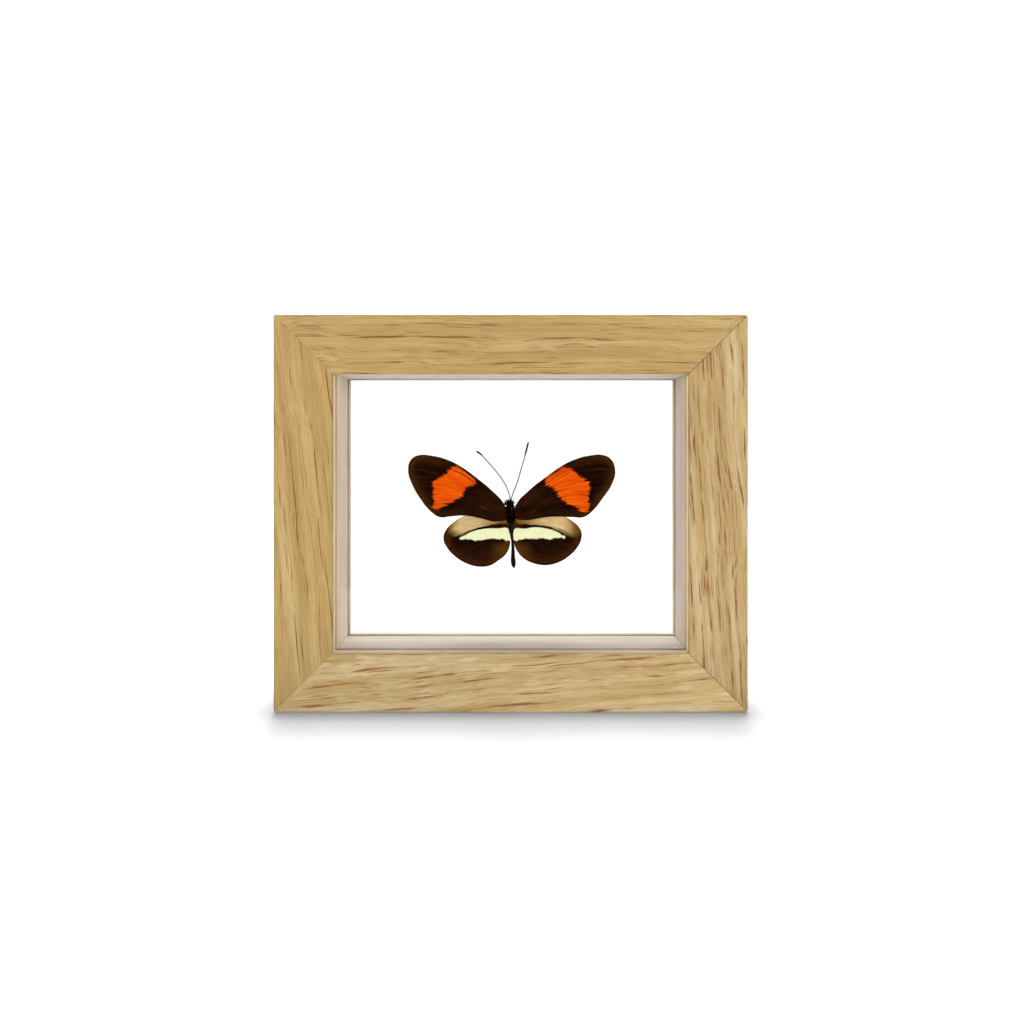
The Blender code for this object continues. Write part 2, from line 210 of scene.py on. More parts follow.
# Tufts of fur round the head and shoulders: root x and z, way x and z, length
TUFTS = [
    (-1.35, 4.2, -1.0, 1.1, 1.3), (-1.1, 4.5, -0.6, 1.0, 1.2), (-0.8, 4.8, -0.3, 1.0, 1.1),
    (-0.4, 4.8, -0.1, 1.0, 0.9), (0.0, 4.8, 0.2, 1.0, 0.8), (0.4, 4.6, 0.4, 0.8, 0.9),
    (0.7, 4.3, 0.7, 0.5, 0.8),
    (-1.3, 4.0, -1.0, 0.7, 1.2), (-1.3, 3.7, -1.0, 0.4, 1.3), (-1.4, 3.0, -1.0, 0.1, 1.0),
    (0.9, 3.4, 1.0, 0.1, 0.8), (-1.2, 2.6, -1.0, 0.1, 0.8), (1.0, 2.2, 1.0, -0.1, 0.7),
    (-1.25, 1.4, -1.0, -0.2, 0.7), (1.1, 0.9, 1.0, -0.3, 0.7),
]
ANTENNA_LEFT = [
    (-0.2, 4.9), (-0.25, 5.8), (-0.9, 8.2), (-2.2, 11.2), (-4.3, 14.3), (-7.0, 17.5), (-9.0, 19.8),
    (-10.5, 21.3), (-11.8, 22.2),
]
ANTENNA_RIGHT = [
    (0.0, 4.9), (0.0, 5.8), (0.9, 8.5), (2.2, 11.9), (3.2, 15.3), (4.3, 19.1), (5.0, 21.8), (5.9, 25.3),
]

# The studio, in metres and watts: lamps over the floor as (name, from and to in degrees behind the zenith,
# width, brightness), and the soft boxes in front
OVERHEAD_HEIGHT = 2.0
OVERHEAD = [
    ("overhead_edge", 0.0, 3.2, 0.3, 0.34),
    ("overhead_soft", 3.2, 13.5, 0.35, 0.43),
    ("overhead_wide", 13.5, 50.0, 1.7, 0.5),
]
FRONT_POWER = 19.0
CAMERA_AT = (0.0032, -0.27, 0.0858)
CAMERA_LENS = 28.41
CAMERA_SHIFT = (-0.0086, -0.0694)


def linear(hex_colour, alpha=1.0):
    """An sRGB hex colour as Blender's linear one."""
    channels = [int(hex_colour[i:i + 2], 16) / 255 for i in (0, 2, 4)]
    return (*(c / 12.92 if c <= 0.04045 else ((c + 0.055) / 1.055) ** 2.4 for c in channels), alpha)


def add_node(tree, kind, inputs=None, operation=None, stops=None, **settings):
    """Adds a shader node: its inputs, which are values, hex colours, sockets or nodes, and its settings."""
    node = tree.nodes.new("ShaderNode" + kind)
    if operation:
        node.operation = operation
    for name, value in settings.items():
        setattr(node, name, value)
    for index, (place, colour) in enumerate(stops or []):
        elements = node.color_ramp.elements
        stop = elements[index] if index < 2 else elements.new(place)
        stop.position = place
        stop.color = linear(colour) if isinstance(colour, str) else (colour, colour, colour, 1)
    for key, value in (inputs or {}).items():
        if isinstance(value, bpy.types.Node):
            value = [out for out in value.outputs if out.enabled][0]
        if isinstance(key, int):
            socket = node.inputs[key]
        else:
            socket = [option for option in node.inputs if option.enabled and option.name == key][0]
        if isinstance(value, bpy.types.NodeSocket):
            tree.links.new(value, socket)
        else:
            socket.default_value = linear(value) if isinstance(value, str) else value
    return node


def new_material(name, view_colour):
    """An empty material and the function that adds nodes to it."""
    material = bpy.data.materials.new(name)
    material.use_nodes = True
    material.diffuse_color = linear(view_colour)
    material.node_tree.nodes.clear()
    return material, functools.partial(add_node, material.node_tree)


def close_material(add, shader):
    add("OutputMaterial", {"Surface": shader})


def millimetres(add, turn=0, start=(0, 0, 0)):
    """Object coordinates in millimetres, turned by degrees about Y and moved to start."""
    coords = add("TexCoord")
    return add("Mapping", {
        "Vector": coords.outputs["Object"], "Scale": (1 / MM, 1 / MM, 1 / MM),
        "Rotation": (0, math.radians(turn), 0), "Location": start,
    })


def stretched_noise(add, place, rates, detail, roughness=0.5):
    """Noise with one cell to each 1 / rate of the way along each axis, so that low rates make streaks."""
    scaled = add("VectorMath", {0: place, 1: rates}, "MULTIPLY")
    inputs = {"Vector": scaled, "Scale": 1.0, "Detail": detail, "Roughness": roughness}
    return add("TexNoise", inputs).outputs["Fac"]


# Materials


def oiled_oak(
    name, turn, middle, outer, seed, tone, rows, dashes, lanes, slant=0.0, flecks=0.0, painted_light_ramp=(1.0, 1.0)
):
    """Pale oak, planed, sanded and oiled: its cut vessels show as thin brown dashes along the grain,
    thickest in the early wood of each ring, and the oil gives it a soft satin sheen.

    turn lays the grain along the rail, middle is the rail's centre in the turned axes and outer the side
    of its outer edge. rows are the ramp of early wood from the outer edge to the sight edge. dashes are
    (length, width, share kept) of each size of vessel, lanes the (spacing, half width, length) of the
    rows in which they chain. The last argument is painted light: how far the wood's value is scaled at the
    outer edge and at the sight edge, to even out the light that falls across the rail.
    """
    material, add = new_material(name, "C1A26D")
    place = millimetres(add, turn, (-middle[0], 0, -middle[1]))
    laid = add("Mapping", {
        "Vector": place, "Rotation": (0, math.radians(slant), 0), "Location": (0, seed * 13.0, 0),
    })
    # Slow waves, about 40 mm long, bend the grain by up to 1.4 mm, and quicker ones by 0.2 mm
    wave = stretched_noise(add, laid, (0.025, 0.05, 0.05), 2.0, 0.4)
    bend = add("MapRange", {
        "Value": wave, "From Min": 0.25, "From Max": 0.75, "To Min": -1.4, "To Max": 1.4,
    })
    shift = add("CombineXYZ", {"Y": bend, "Z": bend})
    grain = add("VectorMath", {0: laid, 1: shift}, "ADD")

    # Rings are 3 to 5 mm wide, fibres 0.3 mm
    rings = stretched_noise(add, grain, (0.012, 0.3, 0.3), 4.0, 0.6)
    fibres = stretched_noise(add, grain, (0.1, 3.4, 3.4), 3.0, 0.75)
    # Early wood: rows across the rail, broken up along it
    across = add("SeparateXYZ", {"Vector": grain})
    row = add("MapRange", {
        "Value": across.outputs["Z"], "From Min": outer * FACE_WIDTH / 2, "From Max": -outer * FACE_WIDTH / 2,
    })
    # Painted light across the rail: the wood's value is scaled from the outer edge to the sight edge
    painted_light_scale = add("MapRange", {"Value": row, "To Min": painted_light_ramp[0], "To Max": painted_light_ramp[1]})
    row = add("ValToRGB", {"Fac": row}, stops=rows)
    patches = stretched_noise(add, laid, (0.03, 0.2, 0.2), 2.0)
    patches = add("MapRange", {"Value": patches, "From Min": 0.35, "From Max": 0.6, "To Min": 0.5})
    early = add("Math", {0: row, 1: patches}, "MULTIPLY")
    # A vessel's cut runs out of the face and back in, so each dash fades in places, every 8 mm or so
    fading = stretched_noise(add, grain, (0.12, 1.2, 1.2), 1.0)
    fading = add("MapRange", {"Value": fading, "From Min": 0.36, "From Max": 0.58, "To Min": 0.4})
    # Vessels: one dash in each stretched cell, kept where the early wood is dense enough
    pores = None
    for length, width, share in dashes:
        cells = add("TexVoronoi", {
            "Vector": add("VectorMath", {0: grain, 1: (1 / length, 1 / width, 1 / width)}, "MULTIPLY"),
            "Scale": 1.0, "Randomness": 1.0,
        })
        chance = add("SeparateColor", {"Color": cells.outputs["Color"]})
        bar = add("Math", {0: early, 1: share}, "MULTIPLY")
        kept = add("Math", {0: chance.outputs["Red"], 1: bar}, "LESS_THAN")
        strength = add("MapRange", {"Value": chance.outputs["Green"], "To Min": 0.4})
        dash = add("MapRange", {"Value": cells.outputs["Distance"], "From Min": 0.5, "From Max": 0.3})
        dash = add("Math", {0: dash, 1: kept}, "MULTIPLY")
        dash = add("Math", {0: dash, 1: strength}, "MULTIPLY")
        dash = add("Math", {0: dash, 1: fading}, "MULTIPLY")
        pores = dash if pores is None else add("Math", {0: pores, 1: dash}, "MAXIMUM")

    # Rows of early wood bend with the grain. In each, the vessels chain end to end as lens-shaped dashes,
    # 10 to 30 mm long, with rough edges.
    spacing, half_width, reach = lanes
    jitter = stretched_noise(add, grain, (0.004, 0.08, 0.08), 1.0)
    # The rings run at a slant through the rail, so the rows cross its sides too, some 5 mm apart
    depth = add("SeparateXYZ", {"Vector": place})
    depth = add("Math", {0: depth.outputs["Y"], 1: FRAME_DEPTH / 2}, "ADD")
    lane = add("Math", {0: depth, 1: 0.6, 2: across.outputs["Z"]}, "MULTIPLY_ADD")
    lane = add("Math", {0: lane, 1: 1 / spacing}, "MULTIPLY")
    lane = add("Math", {0: jitter, 1: 0.9, 2: lane}, "MULTIPLY_ADD")
    number = add("Math", {0: lane}, "ROUND")
    away = add("Math", {0: lane, 1: number}, "SUBTRACT")
    away = add("Math", {0: away}, "ABSOLUTE")
    away = add("Math", {0: away, 1: spacing}, "MULTIPLY")
    chain = add("CombineXYZ", {
        "X": add("Math", {0: across.outputs["X"], 1: 1 / reach}, "MULTIPLY"),
        "Y": add("Math", {0: number, 1: 5.3}, "MULTIPLY"), "Z": seed * 3.1,
    })
    chain = add("TexNoise", {"Vector": chain, "Scale": 1.0, "Detail": 2.0, "Roughness": 0.6})
    chain = add("MapRange", {"Value": chain.outputs["Fac"], "From Min": 0.42, "From Max": 0.64})
    halo = add("MapRange", {"Value": away, "From Min": 1.1, "From Max": 0.0, "To Max": 0.3})
    halo = add("Math", {0: halo, 1: chain}, "MULTIPLY")
    rough = add("Math", {0: fibres, 1: 0.5}, "SUBTRACT")
    rough = add("Math", {0: rough, 1: 0.5, 2: away}, "MULTIPLY_ADD")
    lens = add("Math", {0: chain, 1: half_width}, "MULTIPLY")
    lens = add("Math", {0: lens, 1: rough}, "SUBTRACT")
    lens = add("MapRange", {"Value": lens, "From Max": 0.16})
    chain = add("MapRange", {"Value": chain, "To Min": 0.3, "To Max": 0.8})
    lens = add("Math", {0: lens, 1: chain}, "MULTIPLY")
    pores = add("Math", {0: pores, 1: lens}, "MAXIMUM")

    dark, mid, pale, pore = tone
    wood = add("ValToRGB", {"Fac": rings}, stops=[(0.32, dark), (0.68, pale), (0.5, mid)])
    streak = add("MapRange", {
        "Value": fibres, "From Min": 0.3, "From Max": 0.7, "To Min": 0.78, "To Max": 1.2,
    })
    streak = add("Math", {0: streak, 1: painted_light_scale}, "MULTIPLY")
    wood = add("VectorMath", {0: wood, "Scale": streak}, "SCALE")
    shadow = add("Math", {0: early, 1: 0.3, 2: halo}, "MULTIPLY_ADD")
    wood = add("Mix", {"Factor": shadow, "A": wood, "B": dark}, data_type="RGBA")
    if flecks:
        # Ray flecks: slanted pale patches about 5 mm long where the cut meets the rays
        rays = add("TexNoise", {
            "Vector": add("Mapping", {
                "Vector": laid, "Rotation": (0, math.radians(-14), 0), "Scale": (0.12, 0.5, 0.55),
            }),
            "Scale": 1.0, "Detail": 2.0,
        })
        ray = add("MapRange", {
            "Value": rays.outputs["Fac"], "From Min": 0.56, "From Max": 0.68, "To Max": flecks,
        })
        wood = add("Mix", {"Factor": ray, "A": wood, "B": pale}, data_type="RGBA")
    wood = add("Mix", {"Factor": pores, "A": wood, "B": pore}, data_type="RGBA")

    relief = add("Math", {0: pores, 1: -1.0}, "MULTIPLY")
    relief = add("Math", {0: fibres, 1: 0.35, 2: relief}, "MULTIPLY_ADD")
    bump = add("Bump", {"Height": relief, "Strength": 0.5, "Distance": 0.05 * MM})
    gloss = add("MapRange", {"Value": pores, "To Min": 0.46, "To Max": 0.8})
    # What the wood throws on the white sweep counts as nearly grey: the shadow is neutral
    grey = add("HueSaturation", {"Saturation": 0.15, "Value": 0.7, "Color": wood})
    bounce = add("LightPath")
    wood = add("Mix", {
        "Factor": bounce.outputs["Is Diffuse Ray"], "A": wood, "B": grey,
    }, data_type="RGBA")
    close_material(add, add("BsdfPrincipled", {
        "Base Color": wood, "Roughness": gloss, "Normal": bump, "IOR": 1.46, "Specular IOR Level": 0.35,
    }))
    return material


def planed_strip(name, turn, colours):
    """Pale wood, planed and left matt: fine streaks 0.3 mm wide run along it. It serves for the limed strips
    and for the painted highlight and painted shade bands.
    """
    material, add = new_material(name, colours[1])
    place = millimetres(add, turn)
    streaks = stretched_noise(add, place, (0.03, 1.5, 1.5), 3.0, 0.6)
    colour = add("ValToRGB", {"Fac": streaks}, stops=[
        (0.33, colours[0]), (0.67, colours[2]), (0.5, colours[1]),
    ])
    bump = add("Bump", {"Height": streaks, "Strength": 0.25, "Distance": 0.04 * MM})
    close_material(add, add("BsdfPrincipled", {
        "Base Color": colour, "Roughness": 0.62, "Normal": bump, "Specular IOR Level": 0.3,
    }))
    return material


def float_glass():
    """Clear float glass: its faces came smooth off molten tin, so they only mirror and bend the light."""
    material, add = new_material("float_glass", "F4F8F5")
    glass = add("BsdfPrincipled", {
        "Base Color": (1, 1, 1, 1), "Roughness": 0.0, "IOR": 1.5, "Transmission Weight": 1.0,
    })
    shadow = add("LightPath")
    clear = add("BsdfTransparent", {"Color": (1, 1, 1, 1)})
    close_material(add, add("MixShader", {0: shadow.outputs["Is Shadow Ray"], 1: glass, 2: clear}))
    return material


def ground_glass_edge():
    """The pane's cut and ground edge: pale green and frosted."""
    material, add = new_material("ground_glass_edge", "C9DBD0")
    coords = add("TexCoord")
    grit = add("TexNoise", {"Vector": coords.outputs["Object"], "Scale": 4000.0, "Detail": 1.0})
    tint = add("ValToRGB", {"Fac": grit.outputs["Fac"]}, stops=[(0.3, "AFC9BA"), (0.7, "DCE9E1")])
    close_material(add, add("BsdfPrincipled", {"Base Color": tint, "Roughness": 0.55, "IOR": 1.5}))
    return material


def wing_inputs(add):
    """The wing's own fields: flow runs in millimetres along and across it, the rest are distances."""
    flow = add("Attribute", attribute_name="flow").outputs["Vector"]
    fields = {
        name: add("Attribute", attribute_name=name).outputs["Fac"]
        for name in ("edge", "vein", "line", "patch", "bar", "buff")
    }
    # Rows of scales run with the flow: streaks 0.5 mm wide and 8 mm long, and finer ones
    broad = stretched_noise(add, flow, (0.12, 2.1, 1.0), 3.0, 0.65)
    fine = stretched_noise(add, flow, (0.5, 5.5, 1.0), 2.0, 0.6)
    return flow, fields, broad, fine


def ragged(add, field, noise, reach, soft):
    """1 inside a marking whose edge the scales make ragged by reach, fading over soft."""
    swing = add("Math", {0: noise, 1: 0.5}, "SUBTRACT")
    swing = add("Math", {0: swing, 1: reach}, "MULTIPLY")
    edge = add("Math", {0: swing, 1: 2.0, 2: field}, "MULTIPLY_ADD")
    edge = add("Math", {0: edge, 1: 0.15}, "SUBTRACT")
    edge = add("Math", {0: edge, 1: soft}, "DIVIDE")
    return add("Math", {0: edge, 1: 0.5}, "ADD", use_clamp=True)


def scaled_wing(name, colours, seen):
    """Wing membrane under overlapping powdery scales: matt, in fine rows along the wing, each marking's
    edge ragged by single scales, and dark along the margin."""
    material, add = new_material(name, colours["field"][0])
    flow, fields, broad, fine = wing_inputs(add)
    place = millimetres(add, start=-SPECIMEN)
    axes = add("SeparateXYZ", {"Vector": place})
    out = add("Math", {0: axes.outputs["X"]}, "ABSOLUTE")

    # The brown field: dark at the heart, lighter and olive in a band inside the margin, dark at the rim
    heart, olive, rim = colours["field"]
    band = add("Math", {0: broad, 1: 3.0, 2: fields["edge"]}, "MULTIPLY_ADD")
    field = add("MapRange", {
        "Value": band, "From Min": 1.8, "From Max": 4.6, "To Min": 1.0, "To Max": 0.0,
    })
    beyond = add("MapRange", {"Value": out, "From Min": 15.0, "From Max": 30.0, "To Min": 0.12})
    if seen == "forewing":
        field = add("Math", {0: field, 1: beyond}, "MULTIPLY")
    # Olive streaks fan out from the root and die away round the marking
    marking = fields["patch"] if seen == "forewing" else fields["bar"]
    clear = add("MapRange", {
        "Value": marking, "From Min": -0.5, "From Max": -5.0, "To Min": 0.05,
        "To Max": 0.5 if seen == "forewing" else 0.25,
    })
    fan = add("MapRange", {"Value": broad, "From Min": 0.47, "From Max": 0.66})
    fan = add("Math", {0: fan, 1: clear}, "MULTIPLY")
    field = add("Math", {0: field, 1: fan}, "MAXIMUM")
    colour = add("Mix", {"Factor": field, "A": heart, "B": olive}, data_type="RGBA")
    if seen == "hindwing":
        # Away from the cream bar the field lightens towards the tail, most along the inner margin
        below = add("MapRange", {
            "Value": fields["bar"], "From Min": -2.0, "From Max": -8.5, "To Max": 0.75,
        })
        inner = add("Math", {0: broad, 1: 7.0, 2: out}, "MULTIPLY_ADD")
        inner = add("MapRange", {"Value": inner, "From Min": 11.0, "From Max": 4.5})
        low = add("MapRange", {"Value": fields["bar"], "From Min": -0.5, "From Max": -3.0})
        inner = add("Math", {0: inner, 1: low}, "MULTIPLY")
        colour = add("Mix", {"Factor": below, "A": colour, "B": colours["tail"][0]}, data_type="RGBA")
        colour = add("Mix", {"Factor": inner, "A": colour, "B": colours["tail"][1]}, data_type="RGBA")
    streak = add("MapRange", {
        "Value": broad, "From Min": 0.3, "From Max": 0.7, "To Min": 0.45, "To Max": 1.6,
    })
    colour = add("VectorMath", {0: colour, "Scale": streak}, "SCALE")
    streak = add("MapRange", {
        "Value": fine, "From Min": 0.3, "From Max": 0.7, "To Min": 0.75, "To Max": 1.25,
    })
    colour = add("VectorMath", {0: colour, "Scale": streak}, "SCALE")
    # A thin dark rim, 0.35 mm wide
    line = add("MapRange", {
        "Value": fields["edge"], "From Min": 0.25, "From Max": 0.55, "To Min": 1.0, "To Max": 0.0,
    })
    colour = add("Mix", {"Factor": line, "A": colour, "B": rim}, data_type="RGBA")

    jagged = add("Math", {0: broad, 1: 0.55}, "MULTIPLY")
    jagged = add("Math", {0: fine, 1: 0.45, 2: jagged}, "MULTIPLY_ADD")
    if seen == "forewing":
        inside = ragged(add, fields["patch"], jagged, 2.8, 0.25)
        shade = add("MapRange", {"Value": broad, "From Min": 0.34, "From Max": 0.66})
        patch = add("Mix", {
            "Factor": shade, "A": colours["patch"][0], "B": colours["patch"][1],
        }, data_type="RGBA")
        scratch = add("MapRange", {"Value": jagged, "From Min": 0.41, "From Max": 0.33, "To Max": 0.6})
        patch = add("Mix", {"Factor": scratch, "A": patch, "B": colours["vein"]}, data_type="RGBA")
        near = add("MapRange", {
            "Value": fields["vein"], "From Min": 0.06, "From Max": 0.22, "To Min": 0.12, "To Max": 0.0,
        })
        line = add("MapRange", {
            "Value": fields["line"], "From Min": 0.14, "From Max": 0.3, "To Min": 0.9, "To Max": 0.0,
        })
        near = add("Math", {0: near, 1: line}, "MAXIMUM")
        patch = add("Mix", {"Factor": near, "A": patch, "B": colours["vein"]}, data_type="RGBA")
        colour = add("Mix", {"Factor": inside, "A": colour, "B": patch}, data_type="RGBA")
    else:
        fade = add("MapRange", {
            "Value": out, "From Min": 14.0, "From Max": 21.0, "To Min": 0.35, "To Max": 3.5,
        })
        inside = ragged(add, fields["buff"], jagged, 1.2, fade)
        reach = add("MapRange", {"Value": out, "From Max": 25.0})
        buff = add("ValToRGB", {"Fac": reach}, stops=colours["buff"])
        streak = add("MapRange", {
            "Value": jagged, "From Min": 0.37, "From Max": 0.63, "To Min": 0.74, "To Max": 1.16,
        })
        buff = add("VectorMath", {0: buff, "Scale": streak}, "SCALE")
        colour = add("Mix", {"Factor": inside, "A": colour, "B": buff}, data_type="RGBA")
        # The bar's lower edge is scalloped, about 1.2 mm from one scallop to the next
        scallops = stretched_noise(add, place, (0.85, 0.0, 0.5), 3.0, 0.7)
        lower = add("MapRange", {
            "Value": axes.outputs["Z"], "From Min": -5.4, "From Max": -7.0, "To Min": 0.15,
        })
        inside = ragged(add, fields["bar"], scallops, lower, 0.25)
        shade = add("MapRange", {"Value": fine, "From Min": 0.3, "From Max": 0.7})
        bar = add("Mix", {
            "Factor": shade, "A": colours["bar"][0], "B": colours["bar"][1],
        }, data_type="RGBA")
        colour = add("Mix", {"Factor": inside, "A": colour, "B": bar}, data_type="RGBA")

    # Each scale is about 0.1 mm: a grain of that size roughens the surface
    grit = add("TexVoronoi", {
        "Vector": add("VectorMath", {0: flow, 1: (7.0, 10.0, 1.0)}, "MULTIPLY"), "Scale": 1.0,
    })
    relief = add("Math", {0: fine, 1: 1.5, 2: grit.outputs["Distance"]}, "MULTIPLY_ADD")
    bump = add("Bump", {"Height": relief, "Strength": 0.4, "Distance": 0.02 * MM})
    close_material(add, add("BsdfPrincipled", {
        "Base Color": colour, "Roughness": 0.8, "Normal": bump, "Specular IOR Level": 0.12,
    }))
    return material


def insect_skin(name, dark, light, roughness):
    """Dried insect skin: hard, smooth, nearly black, browner where it is thin, in fine cross wrinkles."""
    material, add = new_material(name, dark)
    coords = add("TexCoord")
    mottle = stretched_noise(add, coords.outputs["Object"], (900, 900, 2200), 3.0, 0.6)
    colour = add("ValToRGB", {"Fac": mottle}, stops=[(0.38, dark), (0.72, light)])
    bump = add("Bump", {"Height": mottle, "Strength": 0.4, "Distance": 0.03 * MM})
    close_material(add, add("BsdfPrincipled", {
        "Base Color": colour, "Roughness": roughness, "Normal": bump, "Specular IOR Level": 0.15,
    }))
    return material


def insect_hair(name, root, tip):
    """Fine dry hair of one colour, a little lighter here and there, with a dull shine."""
    material, add = new_material(name, root)
    coords = add("TexCoord")
    clumps = add("TexNoise", {"Vector": coords.outputs["Object"], "Scale": 2500.0, "Detail": 1.0})
    colour = add("ValToRGB", {"Fac": clumps.outputs["Fac"]}, stops=[(0.4, root), (0.75, tip)])
    close_material(add, add("BsdfPrincipled", {
        "Base Color": colour, "Roughness": 0.7, "Specular IOR Level": 0.06,
    }))
    return material


def compound_eye():
    """A dried compound eye: dark glossy lenses about 0.03 mm across, drawn at 0.06 mm to show."""
    material, add = new_material("compound_eye", "1A120E")
    coords = add("TexCoord")
    lenses = add("TexVoronoi", {"Vector": coords.outputs["Object"], "Scale": 16000.0})
    colour = add("ValToRGB", {"Fac": lenses.outputs["Distance"]}, stops=[(0.1, "2A1D16"), (0.7, "0C0806")])
    bump = add("Bump", {"Height": lenses.outputs["Distance"], "Strength": 0.5, "Distance": -0.02 * MM})
    close_material(add, add("BsdfPrincipled", {
        "Base Color": colour, "Roughness": 0.25, "Normal": bump, "IOR": 1.5,
    }))
    return material


def set_glue():
    """A drop of clear contact glue, set hard: glossy, see-through and faintly yellow."""
    material, add = new_material("set_clear_glue", "F3F0E2")
    coords = add("TexCoord")
    cloud = add("TexNoise", {"Vector": coords.outputs["Object"], "Scale": 1500.0, "Detail": 2.0})
    tint = add("ValToRGB", {"Fac": cloud.outputs["Fac"]}, stops=[(0.35, "EFE9D2"), (0.65, "FBFAF2")])
    close_material(add, add("BsdfPrincipled", {
        "Base Color": tint, "Roughness": 0.12, "IOR": 1.47, "Transmission Weight": 0.85,
    }))
    return material


# Shared making


def keep_piece(name, edit, materials, node):
    """Turns an edit mesh, in millimetres, into the finished piece that stands for a CAD node."""
    edit.transform(Matrix.Scale(MM, 4))
    mesh = bpy.data.meshes.new(name)
    edit.to_mesh(mesh)
    edit.free()
    for material in materials:
        mesh.materials.append(material)
    piece = bpy.data.objects.new(name, mesh)
    bpy.context.scene.collection.objects.link(piece)
    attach(piece, "root")
    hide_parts(node)


def fill_cut(edit, plane_co, plane_no):
    """Cuts away what lies beyond a plane and closes the cut."""
    everything = [*edit.verts, *edit.edges, *edit.faces]
    cut = bmesh.ops.bisect_plane(
        edit, geom=everything, plane_co=plane_co, plane_no=plane_no, clear_outer=True
    )
    rim = [item for item in cut["geom_cut"] if isinstance(item, bmesh.types.BMEdge)]
    if rim:
        bmesh.ops.edgeloop_fill(edit, edges=rim)


def mitred_bar(side, corners, play, rounding=0.0):
    """One bar of a mitred ring. Corners are (in from the frame's edge, back from its face, arris). A rail
    has its outer corners rounded, and its sight edge takes materials 1, painted highlight, and 2, in front of
    it.
    """
    (x, z), turn, length = {
        "top": ((0, FRAME_HEIGHT), 90, FRAME_WIDTH),
        "bottom": ((0, 0), -90, FRAME_WIDTH),
        "left": ((-FRAME_WIDTH / 2, FRAME_HEIGHT / 2), 0, FRAME_HEIGHT),
        "right": ((FRAME_WIDTH / 2, FRAME_HEIGHT / 2), 180, FRAME_HEIGHT),
    }[side]
    edit = bmesh.new()
    section = edit.faces.new([edit.verts.new((x, y, -length / 2)) for x, y, _ in corners])
    extruded = bmesh.ops.extrude_face_region(edit, geom=[section])
    moved = [item for item in extruded["geom"] if isinstance(item, bmesh.types.BMVert)]
    bmesh.ops.translate(edit, vec=(0, 0, length), verts=moved)
    bmesh.ops.recalc_face_normals(edit, faces=edit.faces)
    for radius in sorted({corner[2] for corner in corners} - {0}):
        chosen = [Vector((cx, cy, 0)) for cx, cy, arris in corners if arris == radius]
        long_edges = []
        for edge in edit.edges:
            ends = [Vector((vert.co.x, vert.co.y, 0)) for vert in edge.verts]
            lengthwise = (ends[0] - ends[1]).length < TOUCHING
            if lengthwise and any((ends[0] - point).length < TOUCHING for point in chosen):
                long_edges.append(edge)
        softened = bmesh.ops.bevel(
            edit, geom=long_edges, offset=radius, segments=5, affect="EDGES", profile=0.5, material=-1
        )
        for face in softened["faces"]:
            face.smooth = True
    if rounding:
        # The sight edge's faces: material 1, a painted highlight, behind the front part, and material 2 in
        # front of it
        for face in edit.faces:
            middle = face.calc_center_median()
            if middle.x > ON_SIGHT_EDGE:
                face.material_index = 1 if middle.y > PAINTED_HIGHLIGHT_AT else 2
    for end, room in zip((-1, 1), play):
        across = Vector((1, 0, end)).normalized()
        fill_cut(edit, Vector((0, 0, end * length / 2)) - across * room / 2, across)
        for angle in (15, 30, 45) if rounding else ():
            away = Vector((-math.cos(math.radians(angle)), 0, end * math.sin(math.radians(angle))))
            centre = Vector((rounding, 0, end * (length / 2 - rounding)))
            fill_cut(edit, centre + away * rounding, away)
    bmesh.ops.recalc_face_normals(edit, faces=edit.faces)
    corner = Matrix.Translation((x, -FRAME_DEPTH / 2, z))
    edit.transform(corner @ Matrix.Rotation(math.radians(turn), 4, "Y"))
    return edit


def tube(edit, route, sides=8, steps=4, index=0):
    """Adds a round bar along a smooth route of (x, y, z, radius) and returns its vertices."""
    curve = bpy.data.curves.new("tube", "CURVE")
    curve.dimensions = "3D"
    curve.bevel_depth = 1
    curve.bevel_resolution = (sides - 4) // 2
    curve.use_fill_caps = True
    stations = smooth_route(route, steps)
    spline = curve.splines.new("POLY")
    spline.points.add(len(stations) - 1)
    for point, (x, y, z, radius) in zip(spline.points, stations):
        point.co = (x, y, z, 1)
        point.radius = radius
    holder = bpy.data.objects.new("tube", curve)
    known = len(edit.verts)
    edit.from_mesh(holder.to_mesh())
    bpy.data.objects.remove(holder)
    bpy.data.curves.remove(curve)
    edit.verts.ensure_lookup_table()
    made = edit.verts[known:]
    bmesh.ops.remove_doubles(edit, verts=made, dist=1e-5)
    edit.verts.ensure_lookup_table()
    made = edit.verts[known:]
    faces = {face for vert in made for face in vert.link_faces}
    bmesh.ops.recalc_face_normals(edit, faces=list(faces))
    for face in faces:
        face.smooth = True
        face.material_index = index
    return made


def smooth_route(route, steps):
    """Catmull-Rom stations through the route's own points."""
    points = [Vector(point) for point in route]
    ends = [points[0] * 2 - points[1], *points, points[-1] * 2 - points[-2]]
    stations = []
    for a, b, c, d in zip(ends, ends[1:], ends[2:], ends[3:]):
        for step in range(steps):
            t = step / steps
            bend = 2 * b + (c - a) * t + (2 * a - 5 * b + 4 * c - d) * t**2 + (3 * b - a - 3 * c + d) * t**3
            stations.append(bend / 2)
    return [*stations, points[-1]]


def ellipsoid(edit, centre, radii, index=0, detail=3):
    """Adds a smooth rounded form of that centre and those half axes."""
    made = bmesh.ops.create_icosphere(edit, subdivisions=detail, radius=1)["verts"]
    bmesh.ops.scale(edit, vec=radii, verts=made)
    bmesh.ops.translate(edit, vec=centre, verts=made)
    faces = {face for vert in made for face in vert.link_faces}
    for face in faces:
        face.smooth = True
        face.material_index = index
    return made


# The frame


